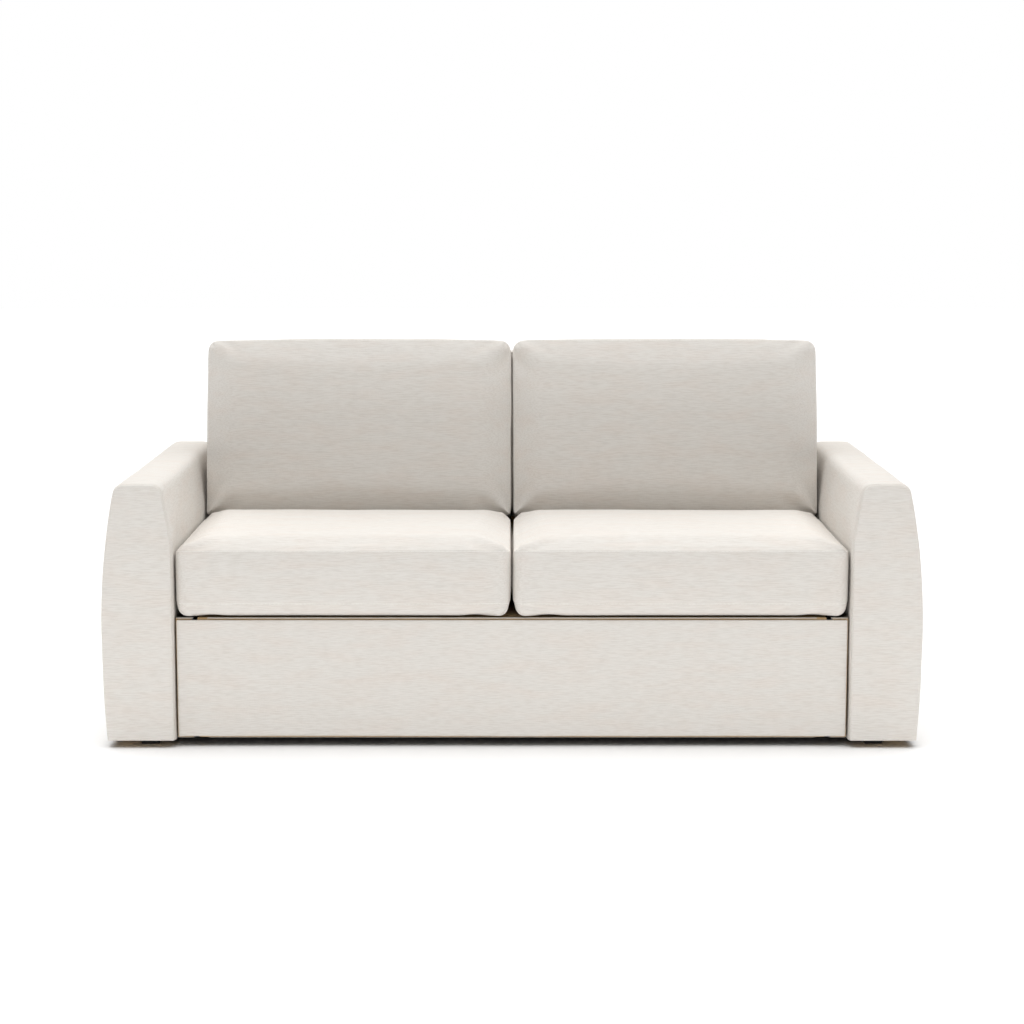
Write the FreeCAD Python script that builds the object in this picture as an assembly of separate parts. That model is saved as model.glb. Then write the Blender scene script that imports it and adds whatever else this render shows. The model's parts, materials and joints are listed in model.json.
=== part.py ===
"""Sleeper sofa with a fold-out bed.

Two seat cushions, two back cushions, slab arms and a front rail. The front rail is
the middle section of a three-section bed: a bed platform under the seat, the rail,
and the seat platform that carries the seat cushions. Swing links lift the folded bed
forward out of the frame while the sections turn over into one level bed.

X is the width, Y the depth with the front of the sofa at -Y, and Z is up from the
floor. Lengths are in millimetres.
"""
import FreeCAD
import Part
import math
import os

V = FreeCAD.Vector
X_AXIS = V(1, 0, 0)
Y_AXIS = V(0, 1, 0)
Z_AXIS = V(0, 0, 1)

# Outer size of the sofa
SOFA_WIDTH = 1980.0
SOFA_DEPTH = 980.0
FOOT_HEIGHT = 18.0
ARM_HEIGHT = 630.0
BACK_HEIGHT = 880.0

# Upholstered arm, as seen from the front
ARM_WIDTH = 170.0
ARM_FOOT_SLOPE = 9.0
ARM_BELLY_HEIGHT = 262.0
ARM_TOP_SLOPE = 40.0
ARM_FLARE_HEIGHT = 490.0
ARM_FLARE = 23.0
ARM_EDGE_RADIUS = 24.0
ARM_REAR_SETBACK = 20.0
FACING_THICKNESS = 12.0
PADDING = 14.0

# Arm and back timber
PANEL = 18.0
TOP_BOARD = 15.0
INNER_BOARD = 15.0
INNER_BOARD_HEIGHT = 250.0
POST_DEPTH = 24.0
POST_WIDTH = 70.0
BACK_COVER = 4.0
BACK_SIDE_GAP = 2.0
BACK_PAD = 20.0
BACK_LEAN = 12.0
BACK_FOOT_HEIGHT = 436.0
BACK_FOOT_DEPTH = 145.0
WEBBING = 2.0
WEBBING_WIDTH = 60.0
WEBBING_COUNT = 8
LOWER_RAIL_HEIGHT = 40.0
TOP_RAIL_HEIGHT = 30.0
REAR_BASE_RAIL_HEIGHT = 120.0

# Feet, tie bar and dust cover
FOOT_SIDE = 50.0
FOOT_TAPER = 4.0
FOOT_SETBACK = 42.0
FOOT_INSET = 78.0
TIE_BAR_THICKNESS = 4.0
TIE_BAR_WIDTH = 40.0
TIE_BAR_SETBACK = 50.0
BASE_LAP = 30.0
DUST_COVER = 1.0

# Folding bed: the rail between the hinges and the layers folded behind it
RAIL_SETBACK = 15.0
RAIL_GROUND_GAP = 4.0
RAIL_TOP = 300.0
RAIL_SIDE_GAP = 4.0
RAIL_COVER = 10.0
RAIL_BOARD = 12.0
RAIL_EDGE_RADIUS = 16.0
HINGE_DEPTH = 22.0
SECTION_DEPTH = 40.0
PLATFORM_BOTTOM = 34.0
BED_SIDE_SPACE = 50.0
MATTRESS_SIDE_GAP = 10.0
SECTION_GAP = 10.0
FOLD_GAP = 3.0
BED_REAR_GAP = 11.0
SEAT_SECTION_MARGIN = 10.0
MATTRESS_OVERHANG = 5.0
MATTRESS_CORNER = 25.0

# Steel sections
STEEL = 3.0
FLANGE = 25.0
CROSSBAR = 25.0
DECK = 3.0
SEAT_DECK = 10.0
EAR_RADIUS = 11.0
HINGE_PIN_RADIUS = 4.5
PIN_HEAD = 3.0
PIN_HEAD_RADIUS = 7.5
RAIL_BAR = 5.0
RUNNING_FIT = 0.05
SIDE_PLAY = 0.3

# Swing links
LINK_LENGTH = 280.0
LINK_REST_ANGLE = 5.2
LINK_THICKNESS = 6.0
LINK_HALF_WIDTH = 14.0
LINK_INSET = 20.0
LINK_SPACING = 350.0
REAR_ATTACH_SETBACK = 101.0
ATTACH_DROP = 3.0
TORQUE_TUBE_RADIUS = 11.0
TORQUE_TUBE_WALL = 2.0
OPEN_PIVOT_PLAY = 0.5
PIVOT_PIN_RADIUS = 6.0
PIVOT_BOSS_RADIUS = 13.0
PIVOT_HEAD_RADIUS = 9.0
MOUNT_PLATE = 4.0
MOUNT_PLATE_MARGIN = 28.0

# Legs of the open bed
LEG_RADIUS = 10.0
LEG_WALL = 2.0
LEG_PIN_RADIUS = 4.0
LEG_SIDE_GAP = 5.0
FRONT_LEG_SETBACK = 63.0
FLOOR_PLAY = 1.0
GLIDE_LENGTH = 16.0
GLIDE_WALL = 1.5
GLIDE_PLUG_SHARE = 0.7
FOOT_LEG_INSET = 70.0
LEG_BRACKET = 4.0
LEG_BRACKET_WIDTH = 26.0
OPEN_ANGLE = 95.0

# Cushions
SEAT_CUSHION_THICKNESS = 170.0
SEAT_CUSHION_DEPTH = 590.0
SEAT_CUSHION_PROUD = 10.0
SEAT_CROWN = 14.0
CUSHION_STRIP = 5.0
CUSHION_STRIP_WIDTH = 40.0
CUSHION_SIDE_GAP = 3.0
CUSHION_MIDDLE_GAP = 4.0
CUSHION_CORNER = 28.0
CUSHION_EDGE = 22.0
BACK_CUSHION_BOTTOM = 434.0
BACK_CUSHION_HEIGHT = 455.0
BACK_CUSHION_THICKNESS = 218.0
BACK_CROWN = 20.0
SIDE_BOW = 3.0
TOP_BELLY = 16.0
LEG_HEEL = 7.0

# Planes and levels that follow from the sizes
FRONT_Y = -SOFA_DEPTH / 2
REAR_Y = SOFA_DEPTH / 2
BASE_Z = FOOT_HEIGHT
BELLY_X = SOFA_WIDTH / 2
INNER_X = BELLY_X - ARM_WIDTH
RAIL_FACE_Y = FRONT_Y + RAIL_SETBACK
BED_HALF_WIDTH = INNER_X - BED_SIDE_SPACE
MATTRESS_HALF_WIDTH = BED_HALF_WIDTH - MATTRESS_SIDE_GAP
FOOT_LEG_X = BED_HALF_WIDTH - FOOT_LEG_INSET
HINGE_Y = RAIL_FACE_Y + HINGE_DEPTH
RAIL_BOTTOM_Z = BASE_Z + RAIL_GROUND_GAP
RAIL_TOP_Z = BASE_Z + RAIL_TOP
PLATFORM_Z = BASE_Z + PLATFORM_BOTTOM
LOWER_HINGE_Z = PLATFORM_Z + HINGE_DEPTH
UPPER_HINGE_Z = RAIL_TOP_Z - HINGE_DEPTH
DECK_Z = PLATFORM_Z + SECTION_DEPTH
SEAT_DECK_Z = RAIL_TOP_Z - SECTION_DEPTH
MATTRESS_THICKNESS = (SEAT_DECK_Z - DECK_Z - 1.0) / 2
SECTION_START_Y = HINGE_Y + SECTION_DEPTH - HINGE_DEPTH + SECTION_GAP
RAIL_SWEEP = LOWER_HINGE_Z - RAIL_BOTTOM_Z
CLEAR_START_Y = HINGE_Y + RAIL_SWEEP + FOLD_GAP
BACK_INNER_Y = REAR_Y - BACK_COVER - POST_DEPTH
BED_REAR_Y = BACK_INNER_Y - BED_REAR_GAP
FRONT_ATTACH_Y = BED_REAR_Y - REAR_ATTACH_SETBACK - LINK_SPACING
RAIL_HALF_WIDTH = INNER_X - RAIL_SIDE_GAP
SEAT_BASE_Z = RAIL_TOP_Z + CUSHION_STRIP
BACK_HALF_WIDTH = INNER_X - BACK_SIDE_GAP
ATTACH_Z = PLATFORM_Z + HINGE_DEPTH - ATTACH_DROP
LINK_OUT = INNER_X - LINK_INSET
LINK_DY = LINK_LENGTH * math.cos(math.radians(LINK_REST_ANGLE))
LINK_DZ = LINK_LENGTH * math.sin(math.radians(LINK_REST_ANGLE))
PIVOT_Z = ATTACH_Z - LINK_DZ
OPEN_LIFT = LINK_LENGTH * math.sin(math.radians(LINK_REST_ANGLE + OPEN_ANGLE)) - LINK_DZ
BAR_X = BED_HALF_WIDTH + STEEL + SIDE_PLAY
LEG_X = BED_HALF_WIDTH + LEG_SIDE_GAP + LEG_RADIUS
FRONT_LEG_Y = HINGE_Y + FRONT_LEG_SETBACK
FRONT_LEG_LENGTH = ATTACH_Z + OPEN_LIFT - FLOOR_PLAY
FOOT_LEG_Z = RAIL_TOP_Z + LEG_RADIUS + FOLD_GAP
FOOT_LEG_Y = RAIL_FACE_Y - SEAT_CUSHION_PROUD + SEAT_CUSHION_DEPTH + LEG_BRACKET + LEG_RADIUS + 2 * FOLD_GAP
SEAT_SECTION_END = FOOT_LEG_Y + LEG_RADIUS + SEAT_SECTION_MARGIN
OPEN_HINGE_Z = LOWER_HINGE_Z + OPEN_LIFT
FOOT_LEG_LENGTH = OPEN_HINGE_Z - (FOOT_LEG_Z - UPPER_HINGE_Z) - FLOOR_PLAY


def box(x0, x1, y0, y1, z0, z1):
    """Box between two corners."""
    return Part.makeBox(x1 - x0, y1 - y0, z1 - z0, V(x0, y0, z0))


def rod(axis, start, radius, length):
    """Round bar from a start point along an axis."""
    return Part.makeCylinder(radius, length, start, axis)


def rod_x(x0, x1, y, z, radius):
    """Round bar along X."""
    return rod(X_AXIS, V(x0, y, z), radius, x1 - x0)


def mirrored(shape):
    """The same piece on the other side of the sofa."""
    return shape.mirror(V(0, 0, 0), X_AXIS)


def both_sides(shape):
    """A left and a right copy as separate solids."""
    return [shape, mirrored(shape)]


def side_profile(points, x0, x1):
    """A closed outline in the YZ plane, drawn out along X."""
    corners = [V(x0, y, z) for y, z in points]
    face = Part.Face(Part.makePolygon(corners + corners[:1]))
    return face.extrude(V(x1 - x0, 0, 0))


def strap(x0, x1, start, end, half_width):
    """Flat bar in the YZ plane with round ends about two pivots."""
    sy, sz = start
    ey, ez = end
    length = math.hypot(ey - sy, ez - sz)
    across_y = -(ez - sz) / length * half_width
    across_z = (ey - sy) / length * half_width
    along_y = (ey - sy) / length * half_width
    along_z = (ez - sz) / length * half_width
    a = V(x0, sy + across_y, sz + across_z)
    b = V(x0, ey + across_y, ez + across_z)
    c = V(x0, ey - across_y, ez - across_z)
    d = V(x0, sy - across_y, sz - across_z)
    end_mid = V(x0, ey + along_y, ez + along_z)
    start_mid = V(x0, sy - along_y, sz - along_z)
    edges = [Part.makeLine(a, b)]
    edges.append(Part.Arc(b, end_mid, c).toShape())
    edges.append(Part.makeLine(c, d))
    edges.append(Part.Arc(d, start_mid, a).toShape())
    return Part.Face(Part.Wire(edges)).extrude(V(x1 - x0, 0, 0))


def cut_all(shape, tools):
    """The shape with every tool cut from it."""
    for tool in tools:
        shape = shape.cut(tool)
    return shape


# Arms


def arm_outline(y):
    """Outline of the right arm at one depth, before its top edges are rounded."""
    foot_x = BELLY_X - ARM_FOOT_SLOPE
    top = BASE_Z + ARM_HEIGHT
    belly = BASE_Z + ARM_BELLY_HEIGHT
    flare = BASE_Z + ARM_FLARE_HEIGHT
    rise = ARM_HEIGHT - ARM_BELLY_HEIGHT
    upper_bow = ARM_TOP_SLOPE
    upper_mid = V(BELLY_X - 0.25 * upper_bow, y, belly + 0.5 * rise)
    lower_mid = V(BELLY_X - 0.25 * ARM_FOOT_SLOPE, y, BASE_Z + 0.5 * ARM_BELLY_HEIGHT)
    foot = V(foot_x, y, BASE_Z)
    belly_point = V(BELLY_X, y, belly)
    outer_top = V(BELLY_X - upper_bow, y, top)
    inner_top = V(INNER_X + ARM_FLARE, y, top)
    flare_point = V(INNER_X, y, flare)
    inner_foot = V(INNER_X, y, BASE_Z)
    edges = [Part.Arc(foot, lower_mid, belly_point).toShape()]
    edges.append(Part.Arc(belly_point, upper_mid, outer_top).toShape())
    edges.append(Part.makeLine(outer_top, inner_top))
    edges.append(Part.makeLine(inner_top, flare_point))
    edges.append(Part.makeLine(flare_point, inner_foot))
    edges.append(Part.makeLine(inner_foot, foot))
    return Part.Face(Part.Wire(edges))


def round_top(prism, radius):
    """Round the two long edges along the top of an arm."""
    top = prism.BoundBox.ZMax
    edges = [e for e in prism.Edges if e.BoundBox.ZMin > top - 0.01 and e.BoundBox.XLength < 0.01]
    return prism.makeFillet(radius, edges)


def arm_prism(y0, y1):
    """Outer form of an arm between two depths."""
    return round_top(arm_outline(y0).extrude(V(0, y1 - y0, 0)), ARM_EDGE_RADIUS)


def arm_core(y0, y1):
    """The space inside the arm's padding between two depths."""
    inner = arm_outline(y0).makeOffset2D(-PADDING)
    core = round_top(inner.extrude(V(0, y1 - y0, 0)), ARM_EDGE_RADIUS - PADDING)
    foot_x = BELLY_X - ARM_FOOT_SLOPE - PADDING
    floor_slot = box(INNER_X + PADDING, foot_x, y0, y1, BASE_Z, BASE_Z + PADDING + 1.0)
    return core.fuse(floor_slot).removeSplitter()


ARM_FRONT_Y = FRONT_Y + FACING_THICKNESS
ARM_REAR_Y = REAR_Y - ARM_REAR_SETBACK
CORE_REAR_Y = ARM_REAR_Y - PADDING


def arm_cover():
    """Padded cover over the outside, top, inside and rear of an arm, open below."""
    outer = arm_prism(ARM_FRONT_Y, ARM_REAR_Y)
    return outer.cut(arm_core(ARM_FRONT_Y, CORE_REAR_Y))


def arm_front_panel():
    """Padded facing on the front of an arm with a softened front edge."""
    panel = arm_prism(FRONT_Y, ARM_FRONT_Y)
    front = [e for e in panel.Edges if max(v.Y for v in e.Vertexes) < FRONT_Y + 0.5]
    return panel.makeChamfer(FACING_THICKNESS / 3, front)


def arm_base_board():
    """Board across the open bottom of an arm."""
    core = arm_core(ARM_FRONT_Y, CORE_REAR_Y)
    slab = box(INNER_X, BELLY_X, ARM_FRONT_Y, CORE_REAR_Y, BASE_Z, BASE_Z + PANEL)
    return core.common(slab)


def arm_top_board():
    """Board under the padding of the arm's top."""
    core = arm_core(ARM_FRONT_Y, CORE_REAR_Y)
    top = BASE_Z + ARM_HEIGHT - PADDING
    slab = box(INNER_X, BELLY_X, ARM_FRONT_Y, CORE_REAR_Y, top - TOP_BOARD, top)
    return core.common(slab)


def arm_inner_board():
    """Board behind the inner padding that the bed mechanism is screwed to."""
    x0 = INNER_X + PADDING
    z0 = BASE_Z + PANEL
    y0 = ARM_FRONT_Y + PANEL
    y1 = CORE_REAR_Y - PANEL
    return box(x0, x0 + INNER_BOARD, y0, y1, z0, BASE_Z + INNER_BOARD_HEIGHT)


def arm_ribs():
    """Front, middle and rear ribs that give the arm its outline."""
    middle = (ARM_FRONT_Y + CORE_REAR_Y - PANEL) / 2
    taken = [arm_base_board(), arm_top_board(), arm_inner_board()]
    ribs = []
    for y in (ARM_FRONT_Y, middle, CORE_REAR_Y - PANEL):
        ribs.append(cut_all(arm_core(y, y + PANEL), taken))
    return ribs


# Back


def lean(height):
    """How far a leaning plane moves to the rear over a height."""
    return height * math.tan(math.radians(BACK_LEAN))


BACK_FOOT_Z = BASE_Z + BACK_FOOT_HEIGHT
BACK_TOP_Z = BASE_Z + BACK_HEIGHT
BACK_FRAME_Y = REAR_Y - BACK_COVER
RIB_FOOT_Y = REAR_Y - BACK_FOOT_DEPTH
RIB_TOP_Y = RIB_FOOT_Y + lean(BACK_TOP_Z - BACK_FOOT_Z)
PAD_SHIFT = (BACK_PAD + WEBBING) / math.cos(math.radians(BACK_LEAN))
WEB_SHIFT = WEBBING / math.cos(math.radians(BACK_LEAN))


def back_posts():
    """Two end posts and a centre post up the rear of the back."""
    reach = BACK_HALF_WIDTH - BACK_COVER
    top = BACK_TOP_Z - TOP_RAIL_HEIGHT
    left = box(-reach, -reach + POST_WIDTH, BACK_INNER_Y, BACK_FRAME_Y, BASE_Z, top)
    centre = box(-POST_WIDTH / 2, POST_WIDTH / 2, BACK_INNER_Y, BACK_FRAME_Y, BASE_Z, top)
    return [left, centre, mirrored(left)]


def back_lower_rail():
    """Rail along the foot of the inside back, above the path of the bed."""
    reach = BACK_HALF_WIDTH - BACK_COVER
    top = BACK_FOOT_Z + LOWER_RAIL_HEIGHT
    outline = [(RIB_FOOT_Y, BACK_FOOT_Z), (RIB_FOOT_Y + 2 * PANEL, BACK_FOOT_Z)]
    outline.append((RIB_FOOT_Y + 2 * PANEL, top))
    outline.append((RIB_FOOT_Y + lean(LOWER_RAIL_HEIGHT), top))
    return side_profile(outline, -reach, reach)


def back_top_rail():
    """Rail along the top of the back, on the posts and ribs."""
    reach = BACK_HALF_WIDTH - BACK_COVER
    low = BACK_TOP_Z - TOP_RAIL_HEIGHT
    outline = [(RIB_TOP_Y - lean(TOP_RAIL_HEIGHT), low), (BACK_FRAME_Y, low)]
    outline.append((BACK_FRAME_Y, BACK_TOP_Z))
    outline.append((RIB_TOP_Y, BACK_TOP_Z))
    return side_profile(outline, -reach, reach)


def back_ribs():
    """Ribs that hold the leaning inside back off the posts."""
    low = BACK_TOP_Z - TOP_RAIL_HEIGHT
    outline = [(RIB_FOOT_Y, BACK_FOOT_Z), (BACK_INNER_Y, BACK_FOOT_Z)]
    outline.append((BACK_INNER_Y, low))
    outline.append((RIB_TOP_Y - lean(TOP_RAIL_HEIGHT), low))
    reach = BACK_HALF_WIDTH - BACK_COVER
    left = side_profile(outline, -reach, -reach + PANEL)
    centre = side_profile(outline, -PANEL / 2, PANEL / 2)
    rail = back_lower_rail()
    return [part.cut(rail) for part in (left, centre, mirrored(left))]


def back_webbing():
    """Elastic straps from the lower rail to the top rail."""
    reach = BACK_HALF_WIDTH - BACK_COVER - POST_WIDTH
    step = 2 * reach / (WEBBING_COUNT - 1)
    outline = [(RIB_FOOT_Y - WEB_SHIFT, BACK_FOOT_Z), (RIB_FOOT_Y, BACK_FOOT_Z)]
    outline.append((RIB_TOP_Y, BACK_TOP_Z))
    outline.append((RIB_TOP_Y - WEB_SHIFT, BACK_TOP_Z))
    straps = []
    for i in range(WEBBING_COUNT):
        x = -reach + i * step
        straps.append(side_profile(outline, x - WEBBING_WIDTH / 2, x + WEBBING_WIDTH / 2))
    return straps


def inside_back_pad():
    """Padded panel that the back cushions lean on."""
    reach = BACK_HALF_WIDTH - BACK_COVER
    outline = [(RIB_FOOT_Y - PAD_SHIFT, BACK_FOOT_Z), (RIB_FOOT_Y - WEB_SHIFT, BACK_FOOT_Z)]
    outline.append((RIB_TOP_Y - WEB_SHIFT, BACK_TOP_Z))
    outline.append((RIB_TOP_Y - PAD_SHIFT, BACK_TOP_Z))
    return side_profile(outline, -reach, reach)


def outside_back_cover():
    """Cover over the rear, the ends and the top of the back."""
    front_foot = RIB_FOOT_Y - PAD_SHIFT
    front_top = RIB_TOP_Y - PAD_SHIFT
    outline = [(BACK_INNER_Y, BASE_Z), (REAR_Y, BASE_Z)]
    outline.append((REAR_Y, BACK_TOP_Z + BACK_COVER))
    outline.append((front_top + lean(BACK_COVER), BACK_TOP_Z + BACK_COVER))
    outline.append((front_top, BACK_TOP_Z))
    outline.append((front_foot, BACK_FOOT_Z))
    outline.append((BACK_INNER_Y, BACK_FOOT_Z))
    body = side_profile(outline, -BACK_HALF_WIDTH, BACK_HALF_WIDTH)
    rear = [e for e in body.Edges if min(v.Y for v in e.Vertexes) > REAR_Y - 0.5]
    rear = [e for e in rear if min(v.Z for v in e.Vertexes) > BASE_Z + 1.0]
    body = body.makeFillet(BACK_COVER * 2, [e for e in rear if e.Length > ARM_HEIGHT * 2])
    reach = BACK_HALF_WIDTH - BACK_COVER
    inside = box(-reach, reach, FRONT_Y, BACK_FRAME_Y, 0, BACK_TOP_Z)
    return body.cut(inside)


def rear_base_rail():
    """Low rail between the posts and the arms at the rear."""
    reach = BACK_HALF_WIDTH - BACK_COVER
    top = BASE_Z + REAR_BASE_RAIL_HEIGHT
    rail = box(-reach, reach, BACK_INNER_Y, BACK_FRAME_Y, BASE_Z, top)
    parts = cut_all(rail, back_posts())
    return parts.Solids


# Base


def feet():
    """Four low tapered block feet under the arms."""
    x = BELLY_X - FOOT_INSET - FOOT_SIDE / 2
    result = []
    for y in (FRONT_Y + FOOT_SETBACK + FOOT_SIDE / 2, ARM_REAR_Y - FOOT_SETBACK - FOOT_SIDE / 2):
        half = FOOT_SIDE / 2
        low = half - FOOT_TAPER
        top_corners = [V(x - half, y - half, BASE_Z), V(x + half, y - half, BASE_Z)]
        top_corners += [V(x + half, y + half, BASE_Z), V(x - half, y + half, BASE_Z)]
        low_corners = [V(x - low, y - low, 0), V(x + low, y - low, 0)]
        low_corners += [V(x + low, y + low, 0), V(x - low, y + low, 0)]
        top = Part.makePolygon(top_corners + top_corners[:1])
        bottom = Part.makePolygon(low_corners + low_corners[:1])
        result.append(Part.makeLoft([bottom, top], True, True))
    return result + [mirrored(foot) for foot in result]


def front_tie_bar():
    """Flat steel bar that ties the arms together under the front."""
    y0 = RAIL_FACE_Y + TIE_BAR_SETBACK
    reach = INNER_X + BASE_LAP
    return box(-reach, reach, y0, y0 + TIE_BAR_WIDTH, BASE_Z - TIE_BAR_THICKNESS, BASE_Z)


def dust_cover():
    """Thin cloth under the sofa between the arms."""
    y0 = RAIL_FACE_Y + TIE_BAR_SETBACK + TIE_BAR_WIDTH + FOLD_GAP
    reach = INNER_X + BASE_LAP
    y1 = BACK_FRAME_Y
    return box(-reach, reach, y0, y1, BASE_Z - DUST_COVER, BASE_Z)


# Swing linkage


def fixed_pivots():
    """Depth of the front and the rear fixed pivot."""
    front = FRONT_ATTACH_Y - LINK_DY
    return (front, front + LINK_SPACING)


def mechanism_plate():
    """Side plate on the arm with its two pivot pins, right side."""
    front, rear = fixed_pivots()
    low = PIVOT_Z - LINK_HALF_WIDTH
    high = PIVOT_Z + MOUNT_PLATE_MARGIN
    x0 = INNER_X - MOUNT_PLATE
    plate = box(x0, INNER_X, front - MOUNT_PLATE_MARGIN, rear + MOUNT_PLATE_MARGIN, low, high)
    outer = LINK_OUT + LINK_THICKNESS + SIDE_PLAY
    inner = LINK_OUT - SIDE_PLAY
    for y in (front, rear):
        plate = plate.fuse(rod_x(outer, x0, y, PIVOT_Z, PIVOT_BOSS_RADIUS))
        plate = plate.fuse(rod_x(inner - PIN_HEAD, x0, y, PIVOT_Z, PIVOT_PIN_RADIUS))
        plate = plate.fuse(rod_x(inner - PIN_HEAD, inner, y, PIVOT_Z, PIVOT_HEAD_RADIUS))
    return plate.removeSplitter()


def swing_arm(pivot_y):
    """Steel link from a fixed pivot to the bed platform, right side."""
    attach = (pivot_y + LINK_DY, ATTACH_Z)
    x1 = LINK_OUT + LINK_THICKNESS
    arm = strap(LINK_OUT, x1, (pivot_y, PIVOT_Z), attach, LINK_HALF_WIDTH)
    bore = rod_x(LINK_OUT - 1, x1 + 1, pivot_y, PIVOT_Z, PIVOT_PIN_RADIUS + RUNNING_FIT)
    return arm.cut(bore)


def torque_tube(pivot_y):
    """Tube that joins the left and the right link under the bed deck."""
    y = pivot_y + LINK_DY
    outer = rod_x(-LINK_OUT, LINK_OUT, y, ATTACH_Z, TORQUE_TUBE_RADIUS)
    bore = TORQUE_TUBE_RADIUS - TORQUE_TUBE_WALL
    return outer.cut(rod_x(-LINK_OUT, LINK_OUT, y, ATTACH_Z, bore))


# Bed platform


def bed_side_rail():
    """Angle rail along the bed platform with a hinge ear at its front, right side."""
    x0 = BED_HALF_WIDTH - STEEL
    ear_top = LOWER_HINGE_Z + EAR_RADIUS
    outline = [(HINGE_Y, LOWER_HINGE_Z - EAR_RADIUS), (CLEAR_START_Y, LOWER_HINGE_Z - EAR_RADIUS)]
    outline += [(CLEAR_START_Y, PLATFORM_Z), (BED_REAR_Y, PLATFORM_Z), (BED_REAR_Y, DECK_Z)]
    outline += [(SECTION_START_Y, DECK_Z), (SECTION_START_Y, ear_top), (HINGE_Y, ear_top)]
    web = side_profile(outline, x0, BED_HALF_WIDTH)
    web = web.fuse(rod_x(x0, BED_HALF_WIDTH, HINGE_Y, LOWER_HINGE_Z, EAR_RADIUS))
    flange = box(BED_HALF_WIDTH - FLANGE, x0, SECTION_START_Y, BED_REAR_Y, DECK_Z - STEEL, DECK_Z)
    rail = web.fuse(flange).removeSplitter()
    front, rear = fixed_pivots()
    front_bore = TORQUE_TUBE_RADIUS + RUNNING_FIT
    rear_bore = TORQUE_TUBE_RADIUS + OPEN_PIVOT_PLAY
    tools = [rod_x(x0 - 1, BED_HALF_WIDTH + 1, front + LINK_DY, ATTACH_Z, front_bore)]
    tools.append(rod_x(x0 - 1, BED_HALF_WIDTH + 1, rear + LINK_DY, ATTACH_Z, rear_bore))
    pin_bore = HINGE_PIN_RADIUS + RUNNING_FIT
    tools.append(rod_x(x0 - 1, BED_HALF_WIDTH + 1, HINGE_Y, LOWER_HINGE_Z, pin_bore))
    return cut_all(rail, tools)


def bed_crossbars():
    """Square tubes across the bed platform at the front, in the middle and at the rear."""
    reach = BED_HALF_WIDTH - STEEL
    top = DECK_Z - DECK
    low = top - CROSSBAR
    front, rear = fixed_pivots()
    middle = (front + rear) / 2 + LINK_DY
    starts = [CLEAR_START_Y, middle - CROSSBAR / 2, BED_REAR_Y - CROSSBAR]
    bars = []
    for y in starts:
        bar = box(-reach, reach, y, y + CROSSBAR, low, top)
        wall = 2.0
        hollow = box(-reach, reach, y + wall, y + CROSSBAR - wall, low + wall, top - wall)
        bars.append(bar.cut(hollow))
    return bars


def bed_deck():
    """Woven deck stretched between the side rails."""
    reach = BED_HALF_WIDTH - FLANGE
    return box(-reach, reach, SECTION_START_Y, BED_REAR_Y, DECK_Z - DECK, DECK_Z)


def front_leg_pins():
    """Pins that carry the front legs on the bed side rails."""
    outer = LEG_X + LEG_RADIUS
    pin = rod_x(BED_HALF_WIDTH, outer + SIDE_PLAY, FRONT_LEG_Y, ATTACH_Z, LEG_PIN_RADIUS)
    inner = LEG_X - LEG_RADIUS - SIDE_PLAY
    collar = rod_x(BED_HALF_WIDTH, inner, FRONT_LEG_Y, ATTACH_Z, PIN_HEAD_RADIUS)
    head = rod_x(outer + SIDE_PLAY, outer + SIDE_PLAY + PIN_HEAD, FRONT_LEG_Y, ATTACH_Z, PIN_HEAD_RADIUS)
    return both_sides(pin.fuse(collar).fuse(head).removeSplitter())


def rounded_plan(shape, radius):
    """Upright edges of a mattress section rounded at its free end."""
    far = shape.BoundBox.YMax
    edges = []
    for edge in shape.Edges:
        upright = abs(edge.BoundBox.ZLength) > 1 and edge.BoundBox.XLength < 0.01
        if upright and edge.BoundBox.YMin > far - 0.01:
            edges.append(edge)
    return shape.makeFillet(radius, edges)


def mattress_body():
    """Long mattress section on the bed platform, mitred at the fold."""
    top = DECK_Z + MATTRESS_THICKNESS
    start = SECTION_START_Y - SECTION_GAP + FOLD_GAP
    rear = BED_REAR_Y + MATTRESS_OVERHANG
    outline = [(start + FOLD_GAP, DECK_Z), (rear, DECK_Z), (rear, top)]
    outline.append((start + FOLD_GAP + MATTRESS_THICKNESS, top))
    body = side_profile(outline, -MATTRESS_HALF_WIDTH, MATTRESS_HALF_WIDTH)
    return rounded_plan(body, MATTRESS_CORNER)


def mattress_foot():
    """Mattress section under the seat platform, folded face down."""
    low = SEAT_DECK_Z - MATTRESS_THICKNESS
    start = SECTION_START_Y - SECTION_GAP + FOLD_GAP
    rear = SEAT_SECTION_END + 4 * MATTRESS_OVERHANG
    outline = [(start + FOLD_GAP, SEAT_DECK_Z), (rear, SEAT_DECK_Z), (rear, low)]
    outline.append((start + FOLD_GAP + MATTRESS_THICKNESS, low))
    body = side_profile(outline, -MATTRESS_HALF_WIDTH, MATTRESS_HALF_WIDTH)
    return rounded_plan(body, MATTRESS_CORNER)


# Front rail


def front_rail_cover():
    """Padded face of the front rail with rounded top and bottom edges."""
    y1 = RAIL_FACE_Y + RAIL_COVER
    cover = box(-RAIL_HALF_WIDTH, RAIL_HALF_WIDTH, RAIL_FACE_Y, y1 + RAIL_BOARD, RAIL_BOTTOM_Z, RAIL_TOP_Z)
    long_edges = []
    for edge in cover.Edges:
        if edge.BoundBox.XLength > 1 and edge.BoundBox.YMax < RAIL_FACE_Y + 0.01:
            long_edges.append(edge)
    cover = cover.makeFillet(RAIL_EDGE_RADIUS, long_edges)
    back = box(-RAIL_HALF_WIDTH, RAIL_HALF_WIDTH, y1, y1 + RAIL_BOARD, RAIL_BOTTOM_Z, RAIL_TOP_Z)
    return cover.cut(back)


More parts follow.
